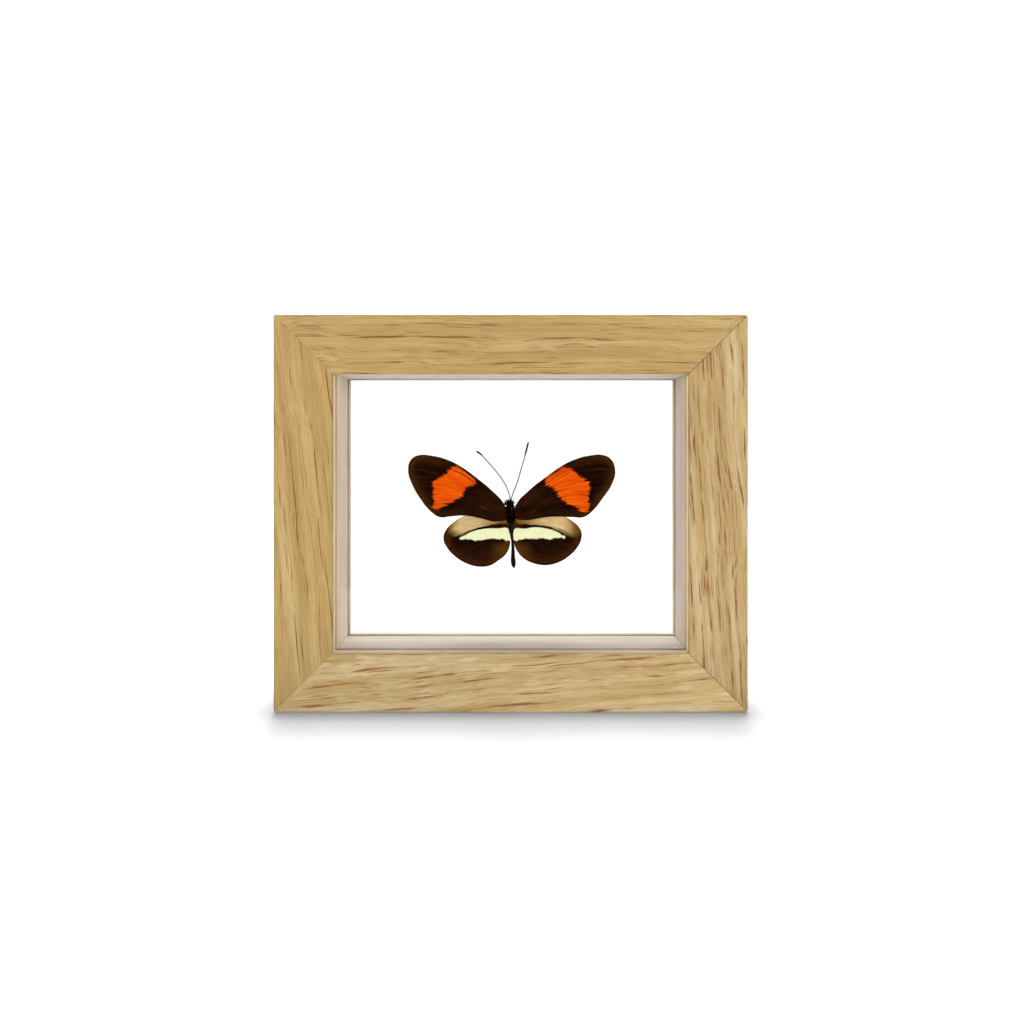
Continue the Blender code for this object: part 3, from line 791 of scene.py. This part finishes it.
def make_rails():
    """Four mitred rails with a front lip, a rebate behind it for panes and strips, and a sight edge with a
    painted highlight.
    """
    corners = [
        (0, 0, WOOD_ARRIS),
        (FACE_WIDTH, 0, SIGHT_ARRIS),
        (FACE_WIDTH, PAINTED_HIGHLIGHT_AT, 0),
        (FACE_WIDTH, LIP_THICKNESS, 0),
        (REBATE_AT, LIP_THICKNESS, 0),
        (REBATE_AT, FRAME_DEPTH, 0),
        (0, FRAME_DEPTH, WOOD_ARRIS),
    ]
    # Each rail's early wood as a ramp from its outer edge, 0, to its sight edge, 1
    oaks = {
        "top": oiled_oak(
            "oiled_oak_top", 0, (0, FRAME_HEIGHT - FACE_WIDTH / 2), 1, 1.0,
            ("A2844F", "AF915B", "BAA26E", "703C1C"),
            [(0.0, 0.25), (1.0, 0.2), (0.1, 0.2), (0.2, 0.75), (0.28, 0.2), (0.4, 0.85), (0.49, 0.2),
             (0.61, 1.0), (0.68, 0.9), (0.75, 0.25), (0.88, 0.8), (0.95, 0.2)],
            [(90.0, 0.36, 0.42), (32.0, 0.36, 0.26)], (3.6, 0.32, 25.0),
        ),
        # The lower rail's last argument paints light on its outer edge and shade on its sight edge, evening
        # out the light across it
        "bottom": oiled_oak(
            "oiled_oak_bottom", 0, (0, FACE_WIDTH / 2), -1, 2.0, ("AC8E5A", "B99E6B", "CCB78C", "884C26"),
            [(0.0, 0.1), (1.0, 0.7), (0.1, 0.35), (0.25, 0.6), (0.3, 0.15), (0.4, 0.15), (0.51, 0.85),
             (0.57, 0.5), (0.63, 0.75), (0.7, 0.4), (0.79, 1.0), (0.9, 0.4)],
            [(36.0, 0.5, 0.3), (15.0, 0.42, 0.22)], (3.3, 0.42, 17.0),
            slant=5.0, flecks=0.6, painted_light_ramp=(1.2, 0.88),
        ),
        "left": oiled_oak(
            "oiled_oak_left", 90, (FRAME_HEIGHT / 2, FRAME_WIDTH / 2 - FACE_WIDTH / 2), 1, 3.0,
            ("A0834D", "AD8F58", "B79F6B", "744020"),
            [(0.0, 0.15), (1.0, 0.2), (0.12, 0.35), (0.22, 0.2), (0.39, 0.9), (0.5, 0.25), (0.585, 0.85),
             (0.67, 0.2), (0.76, 0.45), (0.86, 0.6), (0.93, 0.3)],
            [(90.0, 0.36, 0.4), (20.0, 0.5, 0.2)], (3.8, 0.3, 24.0), slant=6.0,
        ),
        "right": oiled_oak(
            "oiled_oak_right", 90, (FRAME_HEIGHT / 2, FACE_WIDTH / 2 - FRAME_WIDTH / 2), -1, 4.0,
            ("A38857", "B19566", "BFAA80", "7A4422"),
            [(0.0, 0.05), (1.0, 0.05), (0.2, 0.05), (0.28, 0.6), (0.36, 0.4), (0.43, 0.95), (0.5, 1.0),
             (0.57, 0.4), (0.62, 0.2), (0.69, 0.8), (0.775, 0.85), (0.86, 0.2)],
            [(24.0, 0.6, 0.7), (12.0, 0.5, 0.5)], (2.9, 0.38, 11.0), slant=3.8,
        ),
    }
    # The sight edges carry a painted highlight next to the pane, paler than the oiled oak. The lower rail's
    # is paler still, and it carries painted light in front of that too, because its up-facing lip gets little
    # light.
    for side, oak in oaks.items():
        turn = 90 if side in ("left", "right") else 0
        pale = ("F6EEDC", "FCF6E8", "FFFCF4") if side == "bottom" else ("DCC49A", "E8D0A6", "F0DEB8")
        painted_light_strip = planed_strip(f"painted_highlight_sight_edge_{side}", turn, pale)
        front = oak
        if side == "bottom":
            # Painted light: the front of the lower rail's sight edge is painted bright as well
            front = planed_strip("painted_light_sight_edge_front", turn, ("F0CC94", "FAD8A2", "FFE2B2"))
        edit = mitred_bar(side, corners, MITRE_PLAY[side], CORNER_ROUNDING)
        keep_piece(f"oak_rail_{side}", edit, [oak, painted_light_strip, front], f"rail_{side}")


def make_strips(name, corners, node, painted_shade_depth, painted_shade, makings):
    """A ring of four pale strips whose front ends, except the top strip's, carry painted shade over the given
    depth.
    """
    for side, making in makings.items():
        edit = mitred_bar(side, corners, MITRE_PLAY[side])
        front = corners[0][1] - FRAME_DEPTH / 2
        # Material 1 is painted shade on each strip's front end, standing for the shade in the gap in front of
        # it
        for face in edit.faces:
            face.material_index = 1 if face.calc_center_median().y < front + painted_shade_depth else 0
        turn = 90 if side in ("left", "right") else 0
        limed = planed_strip(f"limed_{name}_{side}", turn, making)
        painted_light_strip = planed_strip(f"raw_{name}_{side}", turn, making if side == "top" else painted_shade)
        keep_piece(f"{name}_{side}", edit, [limed, painted_light_strip], f"{node}_{side}")


def make_inserts():
    """The lining between the panes and the stops behind them."""
    make_strips("lining_strip", [
        (INSERT_AT, LINING_AT, 0),
        (LINING_TO, LINING_AT, STRIP_ARRIS),
        (LINING_TO, LINING_AT + LINING_SHADE_DEPTH, 0),
        (LINING_TO, LINING_AT + LINING_DEPTH, STRIP_ARRIS),
        (INSERT_AT, LINING_AT + LINING_DEPTH, 0),
    # The lining's front ends carry painted shade: the dark line of shade behind the lip
    ], "lining", LINING_SHADE_DEPTH, ("C4A278", "CEAE84", "D8BC92"), {
        # Painted light: the lining's four sides are lit and shaded copies of one limed colour, lightest on
        # the top strip and darkest on the right
        "top": ("F2E9DA", "FAF3E6", "FDF8EE"),
        "bottom": ("DACEBC", "E5DACA", "EFE6DA"),
        "left": ("DAC6AE", "E5D3BD", "EEDFCC"),
        "right": ("CCBDAA", "D7C9B8", "E0D5C6"),
    })
    # The stops' front ends carry painted shade: the dark line of shade behind the back pane
    pale, painted_shade = ("CDBDA9", "D8CAB8", "E2D7C8"), ("BEA98C", "CAB699", "D6C3A8")
    make_strips("stop_strip", [
        (INSERT_AT, STOP_AT, 0),
        (FACE_WIDTH, STOP_AT, STRIP_ARRIS),
        (FACE_WIDTH, FRAME_DEPTH, STRIP_ARRIS),
        (INSERT_AT, FRAME_DEPTH, 0),
    ], "back_stop", STOP_SHADE_DEPTH, painted_shade, dict.fromkeys(MITRE_PLAY, pale))


def make_panes():
    """Two cut panes with ground edges."""
    glass = float_glass()
    edge = ground_glass_edge()
    for node in ("glass_front", "glass_back"):
        low, high = (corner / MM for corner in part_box(node))
        edit = bmesh.new()
        bmesh.ops.create_cube(edit, size=1)
        bmesh.ops.scale(edit, vec=high - low, verts=edit.verts)
        bmesh.ops.translate(edit, vec=(low + high) / 2, verts=edit.verts)
        bmesh.ops.bevel(
            edit, geom=list(edit.edges), offset=PANE_ARRIS, segments=1, affect="EDGES", profile=0.5,
            material=-1,
        )
        for face in edit.faces:
            face.material_index = 0 if abs(face.normal.y) > 0.99 else 1
        keep_piece(f"{node}_pane", edit, [glass, edge], node)


# The wings


def smooth_loop(points, steps=12):
    """The closed smooth outline through points of (x, z), with that many stations from each to the next."""
    curve = bpy.data.curves.new("loop", "CURVE")
    curve.dimensions = "3D"
    curve.resolution_u = steps
    spline = curve.splines.new("BEZIER")
    spline.bezier_points.add(len(points) - 1)
    for point, (x, z) in zip(spline.bezier_points, points):
        point.co = (x, 0, z)
        point.handle_left_type = "AUTO"
        point.handle_right_type = "AUTO"
    spline.use_cyclic_u = True
    holder = bpy.data.objects.new("loop", curve)
    stations = [vert.co.copy() for vert in holder.to_mesh().vertices]
    bpy.data.objects.remove(holder)
    bpy.data.curves.remove(curve)
    return stations


def even_run(stations, count):
    """Evenly spaced points, one more than count, along a run of stations."""
    lengths = [0.0]
    for here, there in zip(stations, stations[1:]):
        lengths.append(lengths[-1] + (there - here).length)
    points = []
    at = 0
    for step in range(count + 1):
        goal = lengths[-1] * step / count
        while at < len(lengths) - 2 and lengths[at + 1] < goal:
            at += 1
        span = max(lengths[at + 1] - lengths[at], 1e-9)
        points.append(stations[at].lerp(stations[at + 1], min(1.0, (goal - lengths[at]) / span)))
    return points


def wing_sides(outline, corners, along, across, steps=12):
    """The four runs of a wing's edge: hind and front margins from root to tip, then root and tip from
    hind to front.
    """
    loop = smooth_loop(outline, steps)
    loop = [*loop, *loop]

    def run(start, end):
        first = start * steps
        last = end * steps + (len(loop) // 2 if end <= start else 0)
        return loop[first:last + 1]

    hind_root, front_root, front_tip, hind_tip = corners
    return (
        even_run(run(hind_tip, hind_root)[::-1], along),
        even_run(run(front_root, front_tip), along),
        even_run(run(hind_root, front_root), across),
        even_run(run(front_tip, hind_tip)[::-1], across),
    )


def distance_field(outline):
    """A function that gives how far inside a closed outline a point lies, below zero outside."""
    loop = smooth_loop(outline, 12)
    samples = []
    for here, there in zip(loop, [*loop[1:], loop[0]]):
        pieces = max(1, round((there - here).length / 0.08))
        samples += [here.lerp(there, piece / pieces) for piece in range(pieces)]
    turn = sum(a.x * b.z - b.x * a.z for a, b in zip(samples, [*samples[1:], samples[0]]))
    tree = kdtree.KDTree(len(samples))
    for index, sample in enumerate(samples):
        tree.insert(sample, index)
    tree.balance()

    def measure(point):
        _, index, distance = tree.find(Vector((point.x, 0, point.z)))
        ahead = samples[(index + 1) % len(samples)] - samples[index - 1]
        aside = Vector((point.x, 0, point.z)) - samples[index]
        inside = (ahead.x * aside.z - ahead.z * aside.x) * turn > 0
        return distance if inside else -distance

    return measure


def make_wing(node, outline, markings, turn, corners, veins, depth, materials):
    """A thin cambered plate whose grid runs with the veins, which stand proud and round on both sides."""
    along, across = 150, 84
    hind, front, root, tip = wing_sides(outline, corners, along, across)

    def place(u, v):
        column = min(along, max(0, round(u * along)))
        line = min(across, max(0, round(v * across)))
        ruled = hind[column].lerp(front[column], v) + root[line].lerp(tip[line], u)
        return ruled - hind[0].lerp(hind[-1], u).lerp(front[0].lerp(front[-1], u), v)

    routes = []
    for vein in veins:
        stations = smooth_route([(u, v, 0.0, 0.0) for u, v in vein], 10)
        routes.append([place(station[0], station[1]) for station in stations])
    vein_tree = kdtree.KDTree(sum(4 * len(route) for route in routes))
    for route in routes:
        for here, there in zip(route, [*route[1:], route[-1]]):
            for part in range(4):
                vein_tree.insert(here.lerp(there, part / 4), 0)
    vein_tree.balance()
    line_tree = kdtree.KDTree(len(routes[1]))
    for point in routes[1]:
        line_tree.insert(point, 0)
    line_tree.balance()

    edit = bmesh.new()
    flow_layer = edit.verts.layers.float_vector.new("flow")
    fields = ("edge", "vein", "line", "patch", "bar", "buff")
    layers = {field: edit.verts.layers.float.new(field) for field in fields}
    measures = {field: distance_field(loop) for field, loop in {"edge": outline, **markings}.items()}
    length = (front[-1] - front[0]).length
    width = (tip[-1] - tip[0]).length
    bmesh.ops.create_grid(edit, x_segments=along, y_segments=across, size=0.5)
    for vert in edit.verts:
        u, v = vert.co.x + 0.5, vert.co.y + 0.5
        vert.co = place(u, v)
        vert[flow_layer] = (u * length, v * width, depth * 10 + turn * 100)
        vert[layers["vein"]] = vein_tree.find(vert.co)[2]
        vert[layers["line"]] = line_tree.find(vert.co)[2]
        for field, measure in measures.items():
            vert[layers[field]] = measure(vert.co)
        # The membrane crowns towards the viewer and sinks a little between the veins
        crown = WING_CROWN * math.sin(math.pi * u) * math.sin(math.pi * v)
        ridge = VEIN_RIDGE * math.exp(-(vert[layers["vein"]] / 0.7) ** 2)
        vert.co.y = depth - (crown if depth == FOREWING_DEPTH else 0.4 * crown) - ridge
    bmesh.ops.recalc_face_normals(edit, faces=edit.faces)
    if sum(face.normal.y for face in edit.faces) > 0:
        bmesh.ops.reverse_faces(edit, faces=edit.faces)
    bmesh.ops.solidify(edit, geom=list(edit.faces), thickness=WING_THICKNESS)
    for face in edit.faces:
        face.smooth = abs(face.normal.y) > 0.5
        face.material_index = 1 if face.normal.y > 0.3 else 0
    grid_tree = kdtree.KDTree(len(edit.verts))
    known = list(edit.verts)
    for index, vert in enumerate(known):
        grid_tree.insert(vert.co, index)
    grid_tree.balance()
    stored = [
        (vert.co.copy(), vert[flow_layer].copy(), {field: vert[layer] for field, layer in layers.items()})
        for vert in known
    ]
    for route in routes:
        last = len(route) - 1
        stations = []
        for index, point in enumerate(route):
            surface = stored[grid_tree.find(Vector((point.x, depth, point.z)))[1]][0]
            stations.append((point.x, surface.y, point.z, VEIN_RADIUS - VEIN_TAPER * index / last))
        for vert in tube(edit, stations, sides=8, steps=1):
            _, flow, values = stored[grid_tree.find(vert.co)[1]]
            vert[flow_layer] = flow
            for field, layer in layers.items():
                vert[layer] = values[field]
    edit.transform(Matrix.Translation(SPECIMEN) @ Matrix.Rotation(turn, 4, "Z"))
    keep_piece(f"{node}_scaled", edit, materials, node)


def make_wings():
    upper = {
        "field": ("190500", "4A2703", "160602"), "tail": ("2E1402", "603E08"), "vein": "2A0E02",
        "patch": ("DA3C00", "FC6A02"), "bar": ("EFF6BC", "FBFDD0"),
        "buff": [(0.0, "6E4A1C"), (1.0, "8E6426"), (0.14, "8A6630"), (0.26, "B08A52"), (0.42, "D2B47C"),
                 (0.7, "DCC08A"), (0.8, "C49C60"), (0.88, "8E6426")],
    }
    under = {
        "field": ("5A4228", "7A603C", "4A3420"), "tail": ("7E6644", "8A7450"), "vein": "6A4A30",
        "patch": ("D89A72", "E4AE86"), "bar": ("E4E4C4", "EEEED4"),
        "buff": [(0.0, "8E7650"), (1.0, "A08862"), (0.5, "B8A47E")],
    }
    sides = (("upper", upper), ("under", under))
    fore, hind = (
        [scaled_wing(f"{wing}_scales_{side}", colours, wing) for side, colours in sides]
        for wing in ("forewing", "hindwing")
    )
    fore_form = (FOREWING_CORNERS, FOREWING_VEINS, FOREWING_DEPTH, fore)
    hind_form = (HINDWING_CORNERS, HINDWING_VEINS, HINDWING_DEPTH, hind)
    for node, outline, markings, turn, form in (
        ("forewing_left", FOREWING_LEFT, {"patch": PATCH_LEFT}, DIHEDRAL, fore_form),
        ("forewing_right", FOREWING_RIGHT, {"patch": PATCH_RIGHT}, -DIHEDRAL, fore_form),
        ("hindwing_left", HINDWING_LEFT, {"bar": BAR_LEFT, "buff": BUFF_LEFT}, DIHEDRAL, hind_form),
        ("hindwing_right", HINDWING_RIGHT, {"bar": BAR_RIGHT, "buff": BUFF_RIGHT}, -DIHEDRAL, hind_form),
    ):
        make_wing(node, outline, markings, turn, *form)


# The body


def grow_hairs(edit, rng, roots, length, thickness, lean, index):
    """Short three-sided hairs that stand on the given (point, normal) roots and lean one way."""
    for first in range(0, len(roots), 50):
        tuft = bmesh.new()
        for point, normal in roots[first:first + 50]:
            way = (normal + lean + Vector([rng.uniform(-0.35, 0.35) for _ in range(3)])).normalized()
            tall = length * rng.uniform(0.6, 1.25)
            aim = way.to_track_quat("Z", "Y").to_matrix().to_4x4()
            bmesh.ops.create_cone(
                tuft, segments=3, radius1=thickness, radius2=thickness * 0.25, depth=tall,
                matrix=Matrix.Translation(point + way * tall * 0.42) @ aim,
            )
        for face in tuft.faces:
            face.material_index = index
        mesh = bpy.data.meshes.new("tuft")
        tuft.to_mesh(mesh)
        tuft.free()
        edit.from_mesh(mesh)
        bpy.data.meshes.remove(mesh)


def hair_roots(rng, count, centre, radii, zone=None):
    """Random roots on an ellipsoid with its outward normals."""
    roots = []
    while len(roots) < count:
        way = Vector([rng.gauss(0, 1) for _ in range(3)]).normalized()
        point = Vector([c + w * r for c, w, r in zip(centre, way, radii)])
        if zone is None or zone(point):
            normal = Vector([w / r for w, r in zip(way, radii)]).normalized()
            roots.append((point, normal))
    return roots


def make_body():
    """Head, eyes, palps, coiled tongue, furry thorax with shoulder lobes, legs and ringed abdomen."""
    rng = random.Random(7)
    edit = bmesh.new()
    skin, fur, eye, yellow, grey, horn = range(6)
    thorax = ((-0.15, 0, THORAX_RISE), (1.5, 1.3, 3.0))
    head = ((-0.4, 0.0, 4.3), (1.1, 0.85, 0.8))
    ellipsoid(edit, *thorax, skin, 4)
    ellipsoid(edit, *head, skin, 3)
    lobes = [((side * 0.72, -0.75, 2.35), (0.42, 0.38, 0.85)) for side in (-1, 1)]
    for lobe in lobes:
        ellipsoid(edit, *lobe, skin, 3)
    ellipsoid(edit, (-0.3, 0.0, 3.4), (1.4, 0.9, 1.0), fur, 3)
    for side in (-1, 1):
        ellipsoid(edit, (-0.4 + side * 0.9, -0.1, 4.35), (0.5, 0.52, 0.52), eye, 3)
    for route in PALPS:
        tube(edit, route, index=fur)
    tongue = []
    for step in range(40):
        turn = step / 39 * math.tau * 2.2
        reach = 0.42 - 0.33 * step / 39
        tongue.append((-0.3, 0.75 + math.cos(turn) * reach, 4.75 + math.sin(turn) * reach, 0.07))
    tube(edit, tongue, sides=6, steps=1, index=horn)
    for side in (-1, 1):
        for root in LEG_ROOTS:
            tube(edit, [(side * x, y, root + z, radius) for x, y, z, radius in LEG], sides=6, index=horn)
    # Abdomen: seven rings, each a little fuller at its rear edge
    stations = smooth_route(ABDOMEN, 16)
    ringed = []
    for station in stations:
        x, y, z, radius = station
        ring = (-z - 1.0) / 2.35
        fuller = 0.93 + 0.13 * (ring % 1.0) ** 2 if z < -3.0 else 1.0
        ringed.append((x, y, z, max(radius * fuller, 0.08)))
    tube(edit, ringed, sides=16, steps=1, index=skin)

    back = Vector((0, 0, -0.6))
    grow_hairs(edit, rng, hair_roots(rng, 1800, *thorax), 0.6, 0.07, back, fur)
    for x, z, way_x, way_z, length in TUFTS:
        for depth in (-0.5, 0.0, 0.5):
            way = Vector((way_x, depth * 0.6, way_z)).normalized() * 1.6
            grow_hairs(edit, rng, [(Vector((x, depth, z)), way)] * 14, length, 0.13, Vector(), fur)
    for lobe in lobes:
        grow_hairs(edit, rng, hair_roots(rng, 160, *lobe), 0.5, 0.03, back, fur)
    brow = hair_roots(rng, 320, *head, lambda point: abs(point.x + 0.4) < 0.8)
    grow_hairs(edit, rng, brow, 0.5, 0.045, Vector((0, -0.2, 0.9)), fur)
    for route in PALPS:
        for x, y, z, radius in smooth_route(route, 4):
            roots = hair_roots(rng, 9, (x, y, z), (radius,) * 3)
            grow_hairs(edit, rng, roots, 0.34, 0.022, Vector((0, 0, 1.1)), fur)
    for x, y, z, radius in smooth_route(ABDOMEN, 8)[4:]:
        roots = hair_roots(rng, 14, (x, y, z), (radius,) * 3)
        grow_hairs(edit, rng, roots, 0.3, 0.018, Vector((0, 0, -1.6)), fur)
    # Yellow-green scales on the collar, grey ones where thorax meets abdomen
    waist = ((0, 0, -2.6), (1.0, 1.0, 1.5))
    for form, spot, count, index in (
        (thorax, (0.17, 2.7), 26, yellow), (thorax, (0.25, 1.2), 4, yellow),
        (waist, (-0.75, -2.7), 9, grey), (waist, (0.5, -2.6), 6, grey), (thorax, (-0.1, -0.9), 4, grey),
    ):
        def near_spot(point):
            return point.y < 0 and math.hypot(point.x - spot[0], point.z - spot[1]) < 0.26

        grow_hairs(edit, rng, hair_roots(rng, count, *form, near_spot), 0.42, 0.045, back, index)
    edit.transform(Matrix.Translation(SPECIMEN))
    keep_piece("furry_body", edit, [
        insect_skin("body_skin", "040201", "2C180A", 0.6),
        insect_hair("black_fur", "020101", "080504"),
        compound_eye(),
        insect_hair("yellow_green_fur", "8A9A3A", "C8D070"),
        insect_hair("grey_fur", "6E6A60", "A8A294"),
        insect_skin("leg_horn", "1A100A", "4A3220", 0.4),
    ], "butterfly_body")


def make_antennae():
    """Thin ringed shafts that end in slender clubs."""
    shaft = insect_skin("antenna_shaft", "3A2424", "604444", 0.55)
    club = insect_skin("antenna_club", "0C0808", "241A16", 0.45)
    for name, path in (("antenna_left", ANTENNA_LEFT), ("antenna_right", ANTENNA_RIGHT)):
        edit = bmesh.new()
        stations = smooth_route([(x, ANTENNA_DEPTH, z, 0.0) for x, z in path], 24)
        last = len(stations) - 1
        route = []
        for index, (x, y, z, _) in enumerate(stations):
            part = index / last
            swell = max(0.0, min(1.0, (part - 0.8) / 0.07)) * min(1.0, (1.0 - part) / 0.03 + 0.4)
            ring = 0.008 if index % 2 else 0.0
            route.append((x, y, z, ANTENNA_RADIUS + ring + CLUB_SWELL * swell))
        tube(edit, route, sides=8, steps=1)
        tip = Vector(route[-1][:3])
        start = Vector(route[int(last * 0.78)][:3])
        for face in edit.faces:
            reach = (face.calc_center_median() - start).dot((tip - start).normalized())
            face.material_index = 1 if reach > 0 and face.calc_center_median().z > 15 else 0
        ellipsoid(edit, (path[0][0], ANTENNA_DEPTH, path[0][1] - 0.1), (0.16, 0.16, 0.2), 1, 2)
        edit.transform(Matrix.Translation(SPECIMEN))
        keep_piece(f"{name}_ringed", edit, [shaft, club], name)


def make_glue():
    """A waisted drop of clear glue that spreads on the pane and on the thorax's fur."""
    profile = [
        (0.0, 0.0), (0.66, 0.0), (0.6, 0.16), (0.62, 0.34), (0.78, 0.5), (0.93, 0.58), (0.93, 0.6),
        (0.0, 0.6),
    ]
    edit = bmesh.new()
    verts = [edit.verts.new((radius, depth, 0)) for radius, depth in profile]
    edges = [edit.edges.new(pair) for pair in zip(verts, verts[1:])]
    bmesh.ops.spin(
        edit, geom=[*verts, *edges], cent=(0, 0, 0), axis=(0, 1, 0), angle=math.tau, steps=32, use_merge=True
    )
    bmesh.ops.remove_doubles(edit, verts=edit.verts, dist=TOUCHING)
    bmesh.ops.recalc_face_normals(edit, faces=edit.faces)
    for face in edit.faces:
        face.smooth = True
    edit.transform(Matrix.Translation((SPECIMEN.x, GLUE_FRONT, SPECIMEN.z + THORAX_RISE)))
    keep_piece("glue_drop", edit, [set_glue()], "glue_spot")


# The stage


def make_floor():
    """The plain white floor that the frame stands on."""
    material, add = new_material("white_sweep", "FAFAFA")
    close_material(add, add("BsdfDiffuse", {"Color": (0.96, 0.96, 0.96, 1)}))
    edit = bmesh.new()
    bmesh.ops.create_grid(edit, x_segments=1, y_segments=1, size=0.5)
    bmesh.ops.translate(edit, vec=(0, 0.28, 0), verts=edit.verts)
    mesh = bpy.data.meshes.new("floor")
    edit.to_mesh(mesh)
    edit.free()
    mesh.materials.append(material)
    floor = bpy.data.objects.new("floor", mesh)
    floor.visible_glossy = False
    bpy.context.scene.collection.objects.link(floor)
    floor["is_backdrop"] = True


def add_softbox(name, place, size, facing, power):
    """A rectangular area lamp that only lights: no ray sees it directly, in a mirror or through glass."""
    light = bpy.data.lights.new(name, "AREA")
    light.shape = "RECTANGLE"
    light.size, light.size_y = size
    light.energy = power
    lamp = bpy.data.objects.new(name, light)
    lamp.location = place
    lamp.rotation_euler = (Vector(facing) - Vector(place)).to_track_quat("-Z", "Y").to_euler()
    lamp.visible_glossy = False
    lamp.visible_camera = False
    lamp.visible_transmission = False
    bpy.context.scene.collection.objects.link(lamp)


def light_scene():
    """White sweep lit from above and just behind, so that the shadow falls a few centimetres forward."""
    for name, first, last, wide, level in OVERHEAD:
        near, far = (OVERHEAD_HEIGHT * math.tan(math.radians(angle)) for angle in (first, last))
        middle = (near + far) / 2
        drop = Vector((0, middle, OVERHEAD_HEIGHT))
        cosine = drop.normalized().z
        power = level * math.pi**2 * drop.length_squared / cosine**2
        add_softbox(name, (0, middle, OVERHEAD_HEIGHT), (wide, far - near), (0, middle, 0), power)

    for side in (-1, 1):
        add_softbox(f"front_soft_{side}", (side * 1.5, -1.4, 0.22), (1.0, 0.8), (0, 0, 0.06), FRONT_POWER)

    world = bpy.data.worlds.new("studio")
    bpy.context.scene.world = world
    world.use_nodes = True
    world.node_tree.nodes.clear()
    add = functools.partial(add_node, world.node_tree)
    coords = add("TexCoord")
    axes = add("SeparateXYZ", {"Vector": coords.outputs["Generated"]})
    path = add("LightPath")
    # Diffuse fill: bright round and below the horizon, most behind the frame, and dimmer overhead
    fill = add("MapRange", {
        "Value": axes.outputs["Z"], "From Min": 0.25, "From Max": 0.4, "To Min": 0.95, "To Max": 0.1,
    })
    behind = add("MapRange", {
        "Value": axes.outputs["Y"], "From Min": -0.1, "From Max": 0.1, "To Min": 1.0, "To Max": 1.4,
    })
    fill = add("Math", {0: fill, 1: behind}, "MULTIPLY")
    # Mirror view: dark behind the camera, so that the panes stay clear from the front
    mirror = add("MapRange", {
        "Value": axes.outputs["Y"], "From Min": -0.8, "From Max": -0.45, "To Max": 0.4,
    })
    mirrored = add("Math", {0: path.outputs["Glossy Depth"], 1: 0.5}, "GREATER_THAN")
    scattered = add("Math", {0: path.outputs["Diffuse Depth"], 1: path.outputs["Glossy Depth"]}, "ADD")
    straight = add("Math", {0: scattered, 1: 0.5}, "LESS_THAN")
    # Seen directly or only through glass, the background is plain white
    through = add("Math", {0: path.outputs["Is Transmission Ray"], 1: straight}, "MULTIPLY")
    direct = add("Math", {0: path.outputs["Is Camera Ray"], 1: through}, "MAXIMUM")
    strength = add("Mix", {"Factor": mirrored, "A": fill, "B": mirror}, data_type="FLOAT")
    strength = add("Mix", {"Factor": direct, "A": strength, "B": 1.2}, data_type="FLOAT")
    backdrop = add("Background", {"Color": (1, 1, 1, 1), "Strength": strength})
    add("OutputWorld", {"Surface": backdrop})


def set_camera():
    """Level camera 255 mm in front of the face, shifted so that the frame sits as in the photograph."""
    camera = bpy.data.objects.new("camera", bpy.data.cameras.new("camera"))
    camera.location = CAMERA_AT
    camera.rotation_euler = (math.radians(90), 0, 0)
    camera.data.lens = CAMERA_LENS
    camera.data.shift_x, camera.data.shift_y = CAMERA_SHIFT
    camera.data.clip_start = 0.01
    bpy.context.scene.collection.objects.link(camera)
    bpy.context.scene.camera = camera
    bpy.context.scene.view_settings.view_transform = "Standard"


set_camera()
make_rails()
make_inserts()
make_panes()
make_wings()
make_body()
make_antennae()
make_glue()
make_floor()
light_scene()

boxes = {"cad": CAD_BOUNDS, "visual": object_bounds()}
{name: [list(corner) for corner in box] for name, box in boxes.items()}
